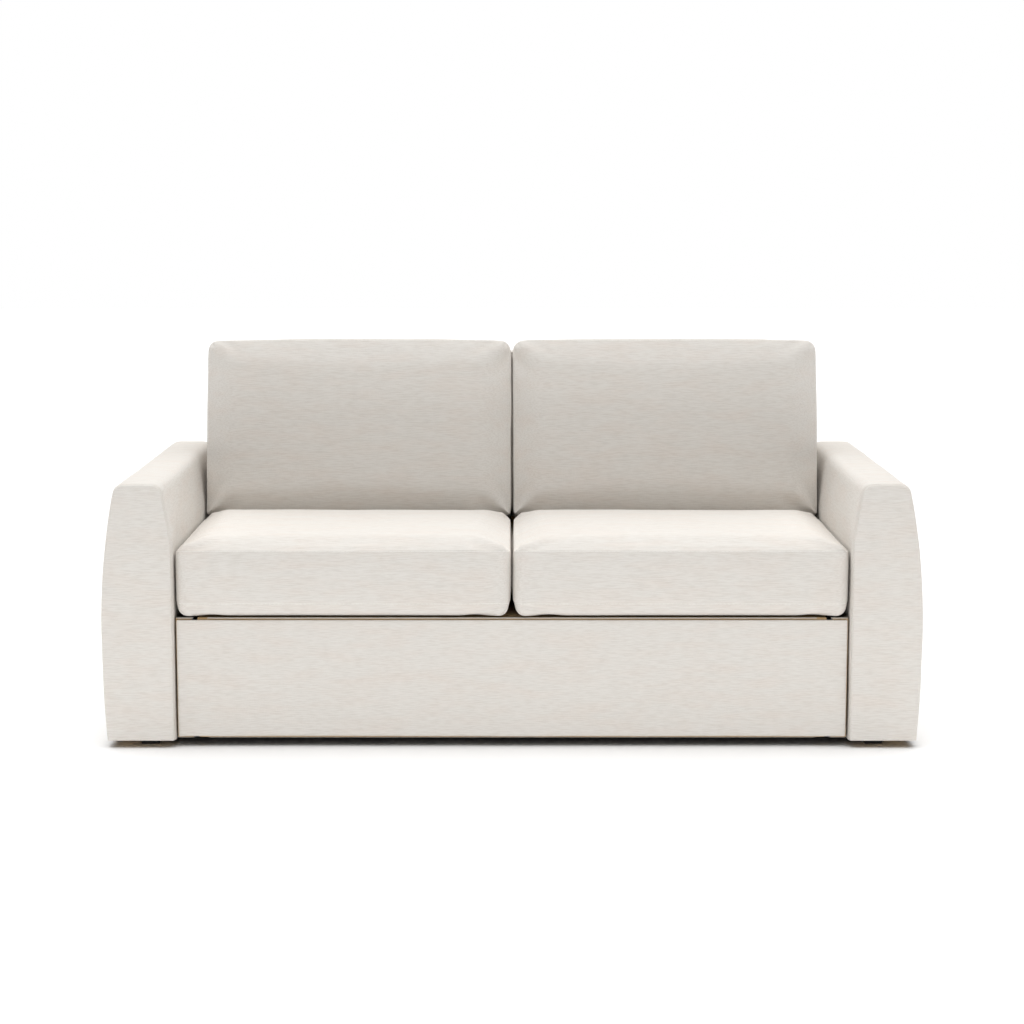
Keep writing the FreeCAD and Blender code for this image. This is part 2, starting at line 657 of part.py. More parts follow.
def rail_slot():
    """Slot in the rail board for the hinge ears and the side bar, right side."""
    x0 = BED_HALF_WIDTH - STEEL - PIN_HEAD - 2 * SIDE_PLAY
    y0 = RAIL_FACE_Y + RAIL_COVER
    return box(x0, BAR_X + RAIL_BAR, y0, y0 + RAIL_BOARD, RAIL_BOTTOM_Z, RAIL_TOP_Z)


def front_rail_board():
    """Board behind the padding of the front rail, in three lengths between the hinges."""
    y0 = RAIL_FACE_Y + RAIL_COVER
    board = box(-RAIL_HALF_WIDTH, RAIL_HALF_WIDTH, RAIL_FACE_Y, y0 + RAIL_BOARD, RAIL_BOTTOM_Z, RAIL_TOP_Z)
    long_edges = []
    for edge in board.Edges:
        if edge.BoundBox.XLength > 1 and edge.BoundBox.YMax < RAIL_FACE_Y + 0.01:
            long_edges.append(edge)
    board = board.makeFillet(RAIL_EDGE_RADIUS, long_edges)
    front = box(-RAIL_HALF_WIDTH, RAIL_HALF_WIDTH, RAIL_FACE_Y, y0, RAIL_BOTTOM_Z, RAIL_TOP_Z)
    board = board.cut(front)
    return cut_all(board, both_sides(rail_slot())).Solids


def rail_side_bar():
    """Steel bar between the two hinges of the rail, right side."""
    lower = (HINGE_Y, LOWER_HINGE_Z)
    upper = (HINGE_Y, UPPER_HINGE_Z)
    return strap(BAR_X, BAR_X + RAIL_BAR, lower, upper, EAR_RADIUS)


def rail_hinge_pins():
    """Pins from the rail's side bars through the ears of both platforms."""
    pins = []
    inner = BED_HALF_WIDTH - STEEL - SIDE_PLAY
    for z in (LOWER_HINGE_Z, UPPER_HINGE_Z):
        pin = rod_x(inner - PIN_HEAD, BAR_X, HINGE_Y, z, HINGE_PIN_RADIUS)
        head = rod_x(inner - PIN_HEAD, inner, HINGE_Y, z, PIN_HEAD_RADIUS)
        pins += both_sides(pin.fuse(head).removeSplitter())
    return pins


def mattress_bend():
    """Wedge of mattress behind the rail, where the mattress folds over."""
    y0 = RAIL_FACE_Y + RAIL_COVER + RAIL_BOARD
    middle = (DECK_Z + SEAT_DECK_Z) / 2
    half = (SEAT_DECK_Z - DECK_Z) / 2 + HINGE_DEPTH / 2
    tip = y0 + half - FOLD_GAP
    outline = [(y0, middle - half), (tip - FOLD_GAP, middle), (y0, middle + half)]
    return side_profile(outline, -MATTRESS_HALF_WIDTH + FOLD_GAP, MATTRESS_HALF_WIDTH - FOLD_GAP)


# Seat platform


def seat_side_rail():
    """Angle rail along the seat platform with a hinge ear at its front, right side."""
    x0 = BED_HALF_WIDTH - STEEL
    ear_low = UPPER_HINGE_Z - EAR_RADIUS
    ear_top = UPPER_HINGE_Z + EAR_RADIUS
    outline = [(HINGE_Y, ear_low), (SECTION_START_Y, ear_low), (SECTION_START_Y, SEAT_DECK_Z)]
    outline += [(SEAT_SECTION_END, SEAT_DECK_Z), (SEAT_SECTION_END, RAIL_TOP_Z)]
    outline += [(SECTION_START_Y, RAIL_TOP_Z), (SECTION_START_Y, ear_top), (HINGE_Y, ear_top)]
    web = side_profile(outline, x0, BED_HALF_WIDTH)
    web = web.fuse(rod_x(x0, BED_HALF_WIDTH, HINGE_Y, UPPER_HINGE_Z, EAR_RADIUS))
    low = RAIL_TOP_Z - SEAT_DECK - STEEL
    flange = box(BED_HALF_WIDTH - FLANGE, x0, SECTION_START_Y, SEAT_SECTION_END, low, low + STEEL)
    rail = web.fuse(flange).removeSplitter()
    pin_bore = HINGE_PIN_RADIUS + RUNNING_FIT
    return rail.cut(rod_x(x0 - 1, BED_HALF_WIDTH + 1, HINGE_Y, UPPER_HINGE_Z, pin_bore))


def seat_crossbars():
    """Square tubes across the seat platform at the fold, in the middle and at its end."""
    reach = BED_HALF_WIDTH - STEEL
    low = SEAT_DECK_Z
    top = RAIL_TOP_Z - SEAT_DECK - STEEL
    middle = (SECTION_START_Y + SEAT_SECTION_END - CROSSBAR) / 2
    bars = []
    for y in (SECTION_START_Y, middle, SEAT_SECTION_END - CROSSBAR):
        wall = 2.0
        bar = box(-reach, reach, y, y + CROSSBAR, low, top)
        hollow = box(-reach, reach, y + wall, y + CROSSBAR - wall, low + wall, top - wall)
        bars.append(bar.cut(hollow))
    return bars


def seat_deck():
    """Board that the seat cushions lie on, level with the side rails."""
    reach = BED_HALF_WIDTH - STEEL
    low = RAIL_TOP_Z - SEAT_DECK
    return box(-reach, reach, SECTION_START_Y, SEAT_SECTION_END, low, RAIL_TOP_Z)


def cushion_strips():
    """Hook-and-loop strips that hold the seat cushions on their board."""
    start = SECTION_START_Y + CUSHION_STRIP_WIDTH
    end = RAIL_FACE_Y - SEAT_CUSHION_PROUD + SEAT_CUSHION_DEPTH - 2 * CUSHION_STRIP_WIDTH
    strips = []
    for x in (CUSHION_STRIP_WIDTH * 2, BED_HALF_WIDTH - CUSHION_STRIP_WIDTH * 3):
        strip = box(x, x + CUSHION_STRIP_WIDTH, start, end, RAIL_TOP_Z, SEAT_BASE_Z)
        strips += both_sides(strip)
    return strips


def foot_leg_brackets():
    """Pairs of upright lugs with a pin, one pair for each foot leg."""
    half = LEG_BRACKET_WIDTH / 2
    top = FOOT_LEG_Z + half
    parts = []
    near = FOOT_LEG_Y - LEG_RADIUS - SIDE_PLAY - LEG_BRACKET
    far = FOOT_LEG_Y + LEG_RADIUS + SIDE_PLAY
    front = box(FOOT_LEG_X - half, FOOT_LEG_X + half, near, near + LEG_BRACKET, RAIL_TOP_Z, FOOT_LEG_Z)
    rear = box(FOOT_LEG_X - half, FOOT_LEG_X + half, far, far + LEG_BRACKET, RAIL_TOP_Z, FOOT_LEG_Z)
    start = V(FOOT_LEG_X, near, FOOT_LEG_Z)
    lug_front = rod(Y_AXIS, start, half, LEG_BRACKET)
    lug_rear = rod(Y_AXIS, V(FOOT_LEG_X, far, FOOT_LEG_Z), half, LEG_BRACKET)
    pin = rod(Y_AXIS, start, LEG_PIN_RADIUS, far + LEG_BRACKET - near)
    floor = box(-BELLY_X, BELLY_X, FRONT_Y, REAR_Y, 0, RAIL_TOP_Z)
    bracket = front.fuse([rear, lug_front, lug_rear, pin]).removeSplitter().cut(floor)
    parts += both_sides(bracket)
    return parts


# Legs of the open bed


def leg_tube(start, direction, length, pin_axis):
    """Round tube from behind its pivot to its tip, bored across for the pivot pin."""
    back = start - direction * LEG_HEEL
    outer = rod(direction, back, LEG_RADIUS, length + LEG_HEEL - GLIDE_WALL)
    hollow = rod(direction, start + direction * LEG_RADIUS, LEG_RADIUS - LEG_WALL, length)
    bore = rod(pin_axis, start - pin_axis * 2 * LEG_RADIUS, LEG_PIN_RADIUS + RUNNING_FIT, 4 * LEG_RADIUS)
    return outer.cut(hollow).cut(bore)


def leg_glide(start, direction, length):
    """Cap over the end of a leg, on a square plug inside its tube."""
    end = start + direction * (length - GLIDE_WALL)
    half = (LEG_RADIUS - LEG_WALL) * GLIDE_PLUG_SHARE
    across = Z_AXIS.cross(direction) * half
    up = Z_AXIS * half
    low = end - direction * GLIDE_LENGTH
    corners = [low - across - up, low + across - up, low + across + up, low - across + up]
    plug = Part.Face(Part.makePolygon(corners + corners[:1])).extrude(direction * GLIDE_LENGTH)
    cap = rod(direction, end, LEG_RADIUS, GLIDE_WALL)
    return plug.fuse(cap).removeSplitter()


FRONT_LEG_START = V(LEG_X, FRONT_LEG_Y, ATTACH_Z)
FOOT_LEG_START = V(FOOT_LEG_X, FOOT_LEG_Y, FOOT_LEG_Z)


def front_leg():
    """Leg folded along the side of the bed platform, right side."""
    return leg_tube(FRONT_LEG_START, Y_AXIS, FRONT_LEG_LENGTH, X_AXIS)


def front_leg_glide():
    """Cap of a front leg, right side."""
    return leg_glide(FRONT_LEG_START, Y_AXIS, FRONT_LEG_LENGTH)


def foot_leg():
    """Leg folded across the end of the seat platform, right side."""
    return leg_tube(FOOT_LEG_START, V(-1, 0, 0), FOOT_LEG_LENGTH, Y_AXIS)


def foot_leg_glide():
    """Cap of a foot leg, right side."""
    return leg_glide(FOOT_LEG_START, V(-1, 0, 0), FOOT_LEG_LENGTH)


# Cushions


def curve(a, b, c):
    """Arc through three points, or a line where they lie in line."""
    bow = (b - (a + c) * 0.5).Length
    if bow < 0.01:
        return Part.makeLine(a, c)
    return Part.Arc(a, b, c).toShape()


def cushion_outline(width, height, level, inset, side_bow, end_bow):
    """Outline of a cushion at one level: bowed sides between rounded corners."""
    w = width / 2 - inset
    h = height / 2 - inset
    r = CUSHION_CORNER
    bow_x = side_bow
    bow_y = end_bow
    d = r * (1 - math.cos(math.radians(45)))
    sides = []
    sides.append((V(-w + r, -h, level), V(0, -h - bow_y, level), V(w - r, -h, level)))
    sides.append((V(w - r, -h, level), V(w - d, -h + d, level), V(w, -h + r, level)))
    sides.append((V(w, -h + r, level), V(w + bow_x, 0, level), V(w, h - r, level)))
    sides.append((V(w, h - r, level), V(w - d, h - d, level), V(w - r, h, level)))
    sides.append((V(w - r, h, level), V(0, h + bow_y, level), V(-w + r, h, level)))
    sides.append((V(-w + r, h, level), V(-w + d, h - d, level), V(-w, h - r, level)))
    sides.append((V(-w, h - r, level), V(-w - bow_x, 0, level), V(-w, -h + r, level)))
    sides.append((V(-w, -h + r, level), V(-w + d, -h + d, level), V(-w + r, -h, level)))
    return Part.Wire([curve(a, b, c) for a, b, c in sides])


def crown_block(half_width, half_height, run, rise):
    """Low block with four sloping sides, which stands on a cushion's face."""
    w = half_width - run
    h = half_height - run
    block = Part.makeWedge(-half_width, 0, -half_height, -h, -w, half_width, rise, half_height, h, w)
    block.rotate(V(0, 0, 0), X_AXIS, 90)
    return block


def cushion(width, height, thickness, crown, belly):
    """Boxed cushion: edges drawn in to both seams and a crowned face on top."""
    edge = CUSHION_EDGE
    levels = [(0.0, 0.7 * edge), (0.5 * edge, 0.1 * edge), (thickness / 2, 0.0)]
    levels += [(thickness - 0.5 * edge, 0.15 * edge), (thickness, edge)]
    wires = []
    for level, inset in levels:
        share = max(0.0, 1 - inset / (0.7 * edge))
        puff = belly * max(0.0, 1 - (2 * level / thickness - 1) ** 2)
        wires.append(cushion_outline(width, height + 2 * puff, level, inset, SIDE_BOW * share, SIDE_BOW * share))
    body = Part.makeLoft(wires, True, True)
    margin = edge + CUSHION_CORNER / 3
    top = crown_block(width / 2 - margin, height / 2 - margin, 7 * edge, crown)
    top.translate(V(0, 0, thickness))
    return body.fuse(top).removeSplitter()


SEAT_CUSHION_WIDTH = INNER_X - CUSHION_SIDE_GAP - CUSHION_MIDDLE_GAP / 2 - 2 * SIDE_BOW


def seat_cushion():
    """Seat cushion on the right, on its strips above the seat board."""
    depth = SEAT_CUSHION_DEPTH - 2 * SIDE_BOW
    shape = cushion(SEAT_CUSHION_WIDTH, depth, SEAT_CUSHION_THICKNESS, SEAT_CROWN, 0)
    x = CUSHION_MIDDLE_GAP / 2 + SIDE_BOW + SEAT_CUSHION_WIDTH / 2
    y = RAIL_FACE_Y - SEAT_CUSHION_PROUD + SEAT_CUSHION_DEPTH / 2
    shape.translate(V(x, y, SEAT_BASE_Z))
    return shape


def back_cushion():
    """Back cushion on the right, leaning on the inside back."""
    shape = cushion(SEAT_CUSHION_WIDTH, BACK_CUSHION_HEIGHT, BACK_CUSHION_THICKNESS, BACK_CROWN, TOP_BELLY)
    shape.rotate(V(0, 0, 0), X_AXIS, 90)
    shape.translate(V(0, 0, BACK_CUSHION_HEIGHT / 2 + SIDE_BOW))
    shape.rotate(V(0, 0, 0), X_AXIS, -BACK_LEAN)
    foot_z = BASE_Z + BACK_CUSHION_BOTTOM
    back_y = RIB_FOOT_Y - PAD_SHIFT + lean(foot_z - BACK_FOOT_Z)
    x = CUSHION_MIDDLE_GAP / 2 + SIDE_BOW + SEAT_CUSHION_WIDTH / 2
    shape.translate(V(x, back_y, foot_z))
    return shape


def save(name, shapes):
    """Write one node as a STEP file."""
    if not isinstance(shapes, list):
        shapes = [shapes]
    solids = []
    for shape in shapes:
        solids += shape.Solids
    body = solids[0] if len(solids) == 1 else Part.makeCompound(solids)
    body.exportStep("parts/" + name + ".step")


def save_pair(name, shape):
    """Write a right-hand piece and its left-hand mirror image as two nodes."""
    save(name + "_right", shape)
    if isinstance(shape, list):
        save(name + "_left", [mirrored(part) for part in shape])
    else:
        save(name + "_left", mirrored(shape))


def main():
    os.makedirs("parts", exist_ok=True)
    front, rear = fixed_pivots()
    save_pair("arm_cover", arm_cover())
    save_pair("arm_front_panel", arm_front_panel())
    save_pair("arm_ribs", arm_ribs())
    save("arm_base_boards", both_sides(arm_base_board()))
    save("arm_top_boards", both_sides(arm_top_board()))
    save("arm_inner_boards", both_sides(arm_inner_board()))
    save("back_posts", back_posts())
    save("back_ribs", back_ribs())
    save("back_lower_rail", back_lower_rail())
    save("back_top_rail", back_top_rail())
    save("back_webbing", back_webbing())
    save("inside_back_pad", inside_back_pad())
    save("outside_back_cover", outside_back_cover())
    save("rear_base_rail", rear_base_rail())
    save("feet", feet())
    save("front_tie_bar", front_tie_bar())
    save("dust_cover", dust_cover())
    save_pair("mechanism_plate", mechanism_plate())
    save_pair("front_swing_arm", swing_arm(front))
    save_pair("rear_swing_arm", swing_arm(rear))
    save("front_torque_tube", torque_tube(front))
    save("rear_torque_tube", torque_tube(rear))
    save_pair("bed_side_rail", bed_side_rail())
    save("bed_crossbars", bed_crossbars())
    save("bed_deck", bed_deck())
    save("front_leg_pins", front_leg_pins())
    save("mattress_body", mattress_body())
    save("mattress_bend", mattress_bend())
    save("mattress_foot", mattress_foot())
    save("front_rail_cover", front_rail_cover())
    save("front_rail_board", front_rail_board())
    save_pair("rail_side_bar", rail_side_bar())
    save("rail_hinge_pins", rail_hinge_pins())
    save_pair("seat_side_rail", seat_side_rail())
    save("seat_crossbars", seat_crossbars())
    save("seat_deck", seat_deck())
    save("cushion_strips", cushion_strips())
    save("foot_leg_brackets", foot_leg_brackets())
    save_pair("front_leg", front_leg())
    save("front_leg_glides", both_sides(front_leg_glide()))
    save_pair("foot_leg", foot_leg())
    save_pair("foot_leg_glide", foot_leg_glide())
    save_pair("seat_cushion", seat_cushion())
    save_pair("back_cushion", back_cushion())
    print("front pivot", round(front, 3), round(PIVOT_Z, 3), "rear pivot", round(rear, 3))
    print("attach", round(front + LINK_DY, 3), round(ATTACH_Z, 3))
    print("hinges", round(HINGE_Y, 3), round(LOWER_HINGE_Z, 3), round(UPPER_HINGE_Z, 3))
    print("front leg", round(LEG_X, 3), round(FRONT_LEG_Y, 3), round(ATTACH_Z, 3))
    print("foot leg", round(FOOT_LEG_X, 3), round(FOOT_LEG_Y, 3), round(FOOT_LEG_Z, 3))


main()
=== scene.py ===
"""Upholstery, mattress, finishes, camera and light of a sleeper sofa."""

import json
import math

import bmesh
import bpy
from mathutils import Matrix, Vector, noise


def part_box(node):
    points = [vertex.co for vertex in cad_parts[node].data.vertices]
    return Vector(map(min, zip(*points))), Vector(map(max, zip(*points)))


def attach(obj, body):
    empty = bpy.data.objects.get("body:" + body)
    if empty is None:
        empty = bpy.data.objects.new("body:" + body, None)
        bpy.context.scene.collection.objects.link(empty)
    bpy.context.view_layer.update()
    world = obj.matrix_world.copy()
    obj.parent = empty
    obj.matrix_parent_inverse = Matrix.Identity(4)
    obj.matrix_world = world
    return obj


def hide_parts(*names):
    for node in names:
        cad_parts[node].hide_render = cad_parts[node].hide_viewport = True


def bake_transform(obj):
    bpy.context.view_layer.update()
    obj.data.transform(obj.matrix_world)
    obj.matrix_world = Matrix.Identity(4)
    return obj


bl_info = {
    "name": "Sleeper sofa",
    "version": (1, 0, 0),
    "blender": (4, 5, 0),
    "location": "View3D > Sidebar > Sofa",
    "description": "Builds the soft goods, finishes and stage of a sleeper sofa",
    "category": "Object",
}

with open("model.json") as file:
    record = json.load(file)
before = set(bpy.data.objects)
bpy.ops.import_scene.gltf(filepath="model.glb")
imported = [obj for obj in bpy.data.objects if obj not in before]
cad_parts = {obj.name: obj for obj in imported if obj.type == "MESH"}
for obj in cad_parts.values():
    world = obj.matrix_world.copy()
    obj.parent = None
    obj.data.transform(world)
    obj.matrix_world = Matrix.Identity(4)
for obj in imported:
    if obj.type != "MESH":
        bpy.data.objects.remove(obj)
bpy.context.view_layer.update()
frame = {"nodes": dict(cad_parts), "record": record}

MM = 0.001
SEED = Vector((3.1, 7.7, 1.9))
LEFT, RIGHT = -1, 1
SIDES = {LEFT: "left", RIGHT: "right"}

# Grid cells of the soft forms, before their subdivision
CUSHION_CELL = 18 * MM
COVER_CELL = 24 * MM
FACING_CELL = 20 * MM

# Simulated swelling of the cushions: frames run, air pressure and how firmly the seams are held
SWELL_FRAMES = 20
SWELL_PRESSURE = 3.0
SEAM_HOLD = 0.95
SEAM_SINK = 2.4 * MM
REST_DIP = 1.5 * MM

# Softness of the arms' outer sides past their frame
ARM_SIDE_PADDING = 4 * MM

# Camera and light: metres, degrees and lamp units
CAMERA_LENS = 80.38
CAMERA_PLACE = (0.0, -5.924, 1.348)
CAMERA_DOWN = 8.03
FLOOR_SIZE = 20.0
ROOM_LIGHT = 0.2
OVERHEAD_ENERGY = 3.5
OVERHEAD_SPREAD = 100
OVERHEAD_LEAN = -9
FILL_ENERGY = 5.0
FILL_WIDTH = 4.6
FILL_HEIGHT = 0.12
FILL_PLACE = (0.0, -1.35, 0.05)
FILL_LEAN = 88


class SofaSizes(bpy.types.PropertyGroup):
    """Sizes of the soft goods."""

    arm_radius: bpy.props.FloatProperty(
        name="Arm edge radius", description="Rounding along the top of each arm",
        default=24 * MM, unit="LENGTH")
    arm_bow: bpy.props.FloatProperty(
        name="Arm top slope", description="How far the outer side leans in from its widest line to the top",
        default=40 * MM, unit="LENGTH")
    arm_foot_bow: bpy.props.FloatProperty(
        name="Arm foot slope",
        description="How far the outer side draws in from its widest line to the floor",
        default=9 * MM, unit="LENGTH")
    arm_belly: bpy.props.FloatProperty(
        name="Arm belly height", description="Height of the widest line above the arm's foot",
        default=262 * MM, unit="LENGTH")
    arm_flare_height: bpy.props.FloatProperty(
        name="Arm flare height",
        description="Height above the arm's foot where the inner side starts to lean",
        default=490 * MM, unit="LENGTH")
    arm_flare: bpy.props.FloatProperty(
        name="Arm flare", description="How far the inner side leans out at the top",
        default=23 * MM, unit="LENGTH")
    seat_seam: bpy.props.FloatProperty(
        name="Seat lower seam", description="Height of the lower seam above the seat cushion's underside",
        default=34 * MM, unit="LENGTH")
    seat_height: bpy.props.FloatProperty(
        name="Seat boxing", description="Height of the seat cushion at its upper seam",
        default=170 * MM, unit="LENGTH")
    back_lean: bpy.props.FloatProperty(
        name="Back lean", description="How far the back cushions lean to the rear",
        default=math.radians(12), subtype="ANGLE")
    back_thickness: bpy.props.FloatProperty(
        name="Back cushion thickness", description="Boxing width of the back cushions",
        default=218 * MM, unit="LENGTH")
    back_height: bpy.props.FloatProperty(
        name="Back cushion height", description="Height of the back cushions along their lean",
        default=461 * MM, unit="LENGTH")
    stitch_length: bpy.props.FloatProperty(
        name="Stitch length", description="Length of one topstitch",
        default=7 * MM, unit="LENGTH")
    stitch_width: bpy.props.FloatProperty(
        name="Stitch width", description="Width of the topstitching thread",
        default=1.9 * MM, unit="LENGTH")


class SofaColours(bpy.types.PropertyGroup):
    """Colours of the finishes, as sRGB hex values."""

    linen: bpy.props.StringProperty(
        name="Linen", description="Ground colour of the upholstery cloth", default="E4E0DA")
    linen_shade: bpy.props.StringProperty(
        name="Linen slubs", description="Darker yarns in the upholstery cloth", default="D3CDC5")
    linen_blush: bpy.props.StringProperty(
        name="Linen blush", description="Warm yarns in the upholstery cloth", default="E3D9D0")
    thread: bpy.props.StringProperty(
        name="Thread", description="Topstitching thread", default="F6F4EF")
    ticking: bpy.props.StringProperty(
        name="Ticking", description="Mattress cover cloth", default="ECEAE4")
    floor: bpy.props.StringProperty(
        name="Floor", description="Floor and backdrop", default="FFFFFF")


def sizes():
    return bpy.context.scene.sofa_sizes


def colours():
    return bpy.context.scene.sofa_colours


# Colour and node helpers


def linear(hex_colour):
    """Linear RGBA of an sRGB hex colour."""
    values = []
    for start in (0, 2, 4):
        c = int(hex_colour[start:start + 2], 16) / 255
        values.append(c / 12.92 if c <= 0.04045 else ((c + 0.055) / 1.055) ** 2.4)
    return (*values, 1.0)


def add_node(material, kind, settings=None, inputs=None):
    """A node with its settings, and its inputs set to values or linked from sockets."""
    tree = material.node_tree
    node = tree.nodes.new(kind)
    for name, value in (settings or {}).items():
        setattr(node, name, value)
    for name, value in (inputs or {}).items():
        if isinstance(value, bpy.types.NodeSocket):
            tree.links.new(value, node.inputs[name])
        else:
            node.inputs[name].default_value = value
    return node


def new_material(name):
    """A material with an empty node tree, and whether it is new."""
    material = bpy.data.materials.get(name)
    if material:
        return material, False
    material = bpy.data.materials.new(name)
    material.use_nodes = True
    material.node_tree.nodes.clear()
    return material, True


def finish_material(material, shader):
    add_node(material, "ShaderNodeOutputMaterial", inputs={"Surface": shader.outputs[0]})
    return material


def ramp(material, factor, stops):
    """A colour ramp with stops of (position, colour)."""
    node = add_node(material, "ShaderNodeValToRGB", inputs={"Fac": factor})
    elements = node.color_ramp.elements
    while len(elements) < len(stops):
        elements.new(0.5)
    for element, (position, colour) in zip(elements, stops):
        element.position = position
        element.color = colour
    return node


# Materials


def linen_weave(name):
    """Polyester linen-look upholstery cloth, plain woven from slubby yarns.

    The eye sees a matt pale cloth with fine streaks along the weft, a little darker
    and warmer than the ground. The weft runs level, also on faces that look sideways.
    """
    material, fresh = new_material(name)
    if not fresh:
        return material
    c = colours()
    where = add_node(material, "ShaderNodeTexCoord").outputs["Object"]
    facing = add_node(material, "ShaderNodeNewGeometry").outputs["Normal"]
    parts = add_node(material, "ShaderNodeSeparateXYZ", inputs={0: where})
    swapped = add_node(material, "ShaderNodeCombineXYZ",
                       inputs={"X": parts.outputs["Y"], "Y": parts.outputs["X"], "Z": parts.outputs["Z"]})
    normal = add_node(material, "ShaderNodeSeparateXYZ", inputs={0: facing})
    size = add_node(material, "ShaderNodeMath", {"operation": "ABSOLUTE"}, {0: normal.outputs["X"]})
    sideways = add_node(material, "ShaderNodeMath", {"operation": "GREATER_THAN"},
                        {0: size.outputs[0], 1: 0.72})
    cloth = add_node(material, "ShaderNodeMix", {"data_type": "VECTOR"},
                     {0: sideways.outputs[0], 4: where, 5: swapped.outputs[0]}).outputs[1]
    streak_at, warp_at, patch_at = [
        add_node(material, "ShaderNodeMapping", inputs={"Vector": cloth, "Scale": scale})
        for scale in ((34.0, 480.0, 480.0), (560.0, 70.0, 70.0), (9.0, 32.0, 32.0))]
    streaks = add_node(material, "ShaderNodeTexNoise",
                       inputs={"Vector": streak_at.outputs[0], "Scale": 1.0, "Detail": 3.0, "Roughness": 0.6})
    warp = add_node(material, "ShaderNodeTexNoise",
                    inputs={"Vector": warp_at.outputs[0], "Scale": 1.0, "Detail": 2.0, "Roughness": 0.6})
    patches = add_node(material, "ShaderNodeTexNoise",
                       inputs={"Vector": patch_at.outputs[0], "Scale": 1.0, "Detail": 2.0})
    shade = ramp(material, streaks.outputs["Fac"], [(0.34, linear(c.linen_shade)), (0.58, linear(c.linen))])
    blush = ramp(material, patches.outputs["Fac"], [(0.42, linear(c.linen)), (0.72, linear(c.linen_blush))])
    mixed = add_node(material, "ShaderNodeMix", {"data_type": "RGBA"},
                     {0: 0.4, 6: shade.outputs[0], 7: blush.outputs[0]})
    height = add_node(material, "ShaderNodeMath", {"operation": "ADD"},
                      {0: streaks.outputs["Fac"], 1: warp.outputs["Fac"]})
    bump = add_node(material, "ShaderNodeBump",
                    inputs={"Height": height.outputs[0], "Strength": 0.35, "Distance": 0.0012})
    shader = add_node(material, "ShaderNodeBsdfPrincipled",
                      inputs={"Base Color": mixed.outputs[2], "Roughness": 0.92, "Sheen Weight": 0.12,
                              "Sheen Roughness": 0.5, "Specular IOR Level": 0.25, "Normal": bump.outputs[0]})
    return finish_material(material, shader)


def one_texture(name, texture, stops, roughness, bump=None, output="Fac", settings=None, extra=None):
    """A finish whose colour and bump follow one texture, given as its node kind and inputs.

    stops are (position, sRGB hex) along the texture, bump is (strength, distance).
    """
    material, fresh = new_material(name)
    if not fresh:
        return material
    kind, inputs = texture
    where = add_node(material, "ShaderNodeTexCoord").outputs["Object"]
    pattern = add_node(material, kind, settings, {"Vector": where, **inputs}).outputs[output]
    tint = ramp(material, pattern, [(position, linear(colour)) for position, colour in stops])
    values = {"Base Color": tint.outputs[0], "Roughness": roughness}
    values.update(extra or {})
    if bump:
        values["Normal"] = add_node(
            material, "ShaderNodeBump",
            inputs={"Height": pattern, "Strength": bump[0], "Distance": bump[1]}).outputs[0]
    return finish_material(material, add_node(material, "ShaderNodeBsdfPrincipled", inputs=values))


def polyester_thread():
    """Bonded polyester topstitching thread: pale and a little shiny."""
    return one_texture("polyester_thread", ("ShaderNodeTexNoise", {"Scale": 900.0}),
                       [(0.3, "EAE7E0"), (0.6, colours().thread)], 0.6)


def quilted_ticking():
    """Knitted mattress ticking over foam: soft off-white with small knit bumps."""
    material, fresh = new_material("quilted_ticking")
    if not fresh:
        return material
    where = add_node(material, "ShaderNodeTexCoord").outputs["Object"]
    knit = add_node(material, "ShaderNodeTexVoronoi", inputs={"Vector": where, "Scale": 260.0})
    soft = add_node(material, "ShaderNodeTexNoise", inputs={"Vector": where, "Scale": 14.0, "Detail": 2.0})
    tint = ramp(material, soft.outputs["Fac"], [(0.3, linear("E2DFD7")), (0.7, linear(colours().ticking))])
    bump = add_node(material, "ShaderNodeBump",
                    inputs={"Height": knit.outputs["Distance"], "Strength": 0.3, "Distance": 0.001})
    shader = add_node(material, "ShaderNodeBsdfPrincipled",
                      inputs={"Base Color": tint.outputs[0], "Roughness": 0.9, "Sheen Weight": 0.1,
                              "Normal": bump.outputs[0]})
    return finish_material(material, shader)


def black_cloth():
    """Black spun-bonded and woven polypropylene: matt, with a pressed dot pattern."""
    return one_texture("black_polypropylene_cloth", ("ShaderNodeTexVoronoi", {"Scale": 320.0}),
                       [(0.2, "141414"), (0.8, "262626")], 0.95, (0.3, 0.0006), "Distance")


def woven_webbing():
    """Grey elastic webbing: ribs across its width."""
    return one_texture("elastic_webbing", ("ShaderNodeTexWave", {"Scale": 120.0}),
                       [(0.2, "3A3A38"), (0.8, "595854")], 0.85, (0.4, 0.0008),
                       settings={"bands_direction": "Z"})


def timber(name, pale, dark, along, spacing):
    """Wood with grain along one axis: softwood rails or birch plywood."""
    material, fresh = new_material(name)
    if not fresh:
        return material
    where = add_node(material, "ShaderNodeTexCoord").outputs["Object"]
    scale = [1 / spacing, 1 / spacing, 1 / spacing]
    scale[along] = 2.0
    grain_at = add_node(material, "ShaderNodeMapping", inputs={"Vector": where, "Scale": scale})
    grain = add_node(material, "ShaderNodeTexNoise",
                     inputs={"Vector": grain_at.outputs[0], "Scale": 1.0, "Detail": 4.0, "Distortion": 0.4})
    tint = ramp(material, grain.outputs["Fac"], [(0.35, linear(dark)), (0.65, linear(pale))])
    bump = add_node(material, "ShaderNodeBump",
                    inputs={"Height": grain.outputs["Fac"], "Strength": 0.15, "Distance": 0.0005})
    shader = add_node(material, "ShaderNodeBsdfPrincipled",
                      inputs={"Base Color": tint.outputs[0], "Roughness": 0.6, "Normal": bump.outputs[0]})
    return finish_material(material, shader)


def moulded_plastic():
    """Moulded black polypropylene of the feet and leg caps: fine spark texture."""
    return one_texture("moulded_black_polypropylene",
                       ("ShaderNodeTexNoise", {"Scale": 1400.0, "Detail": 2.0}),
                       [(0.3, "101010"), (0.7, "1C1C1C")], 0.5, (0.25, 0.0003))


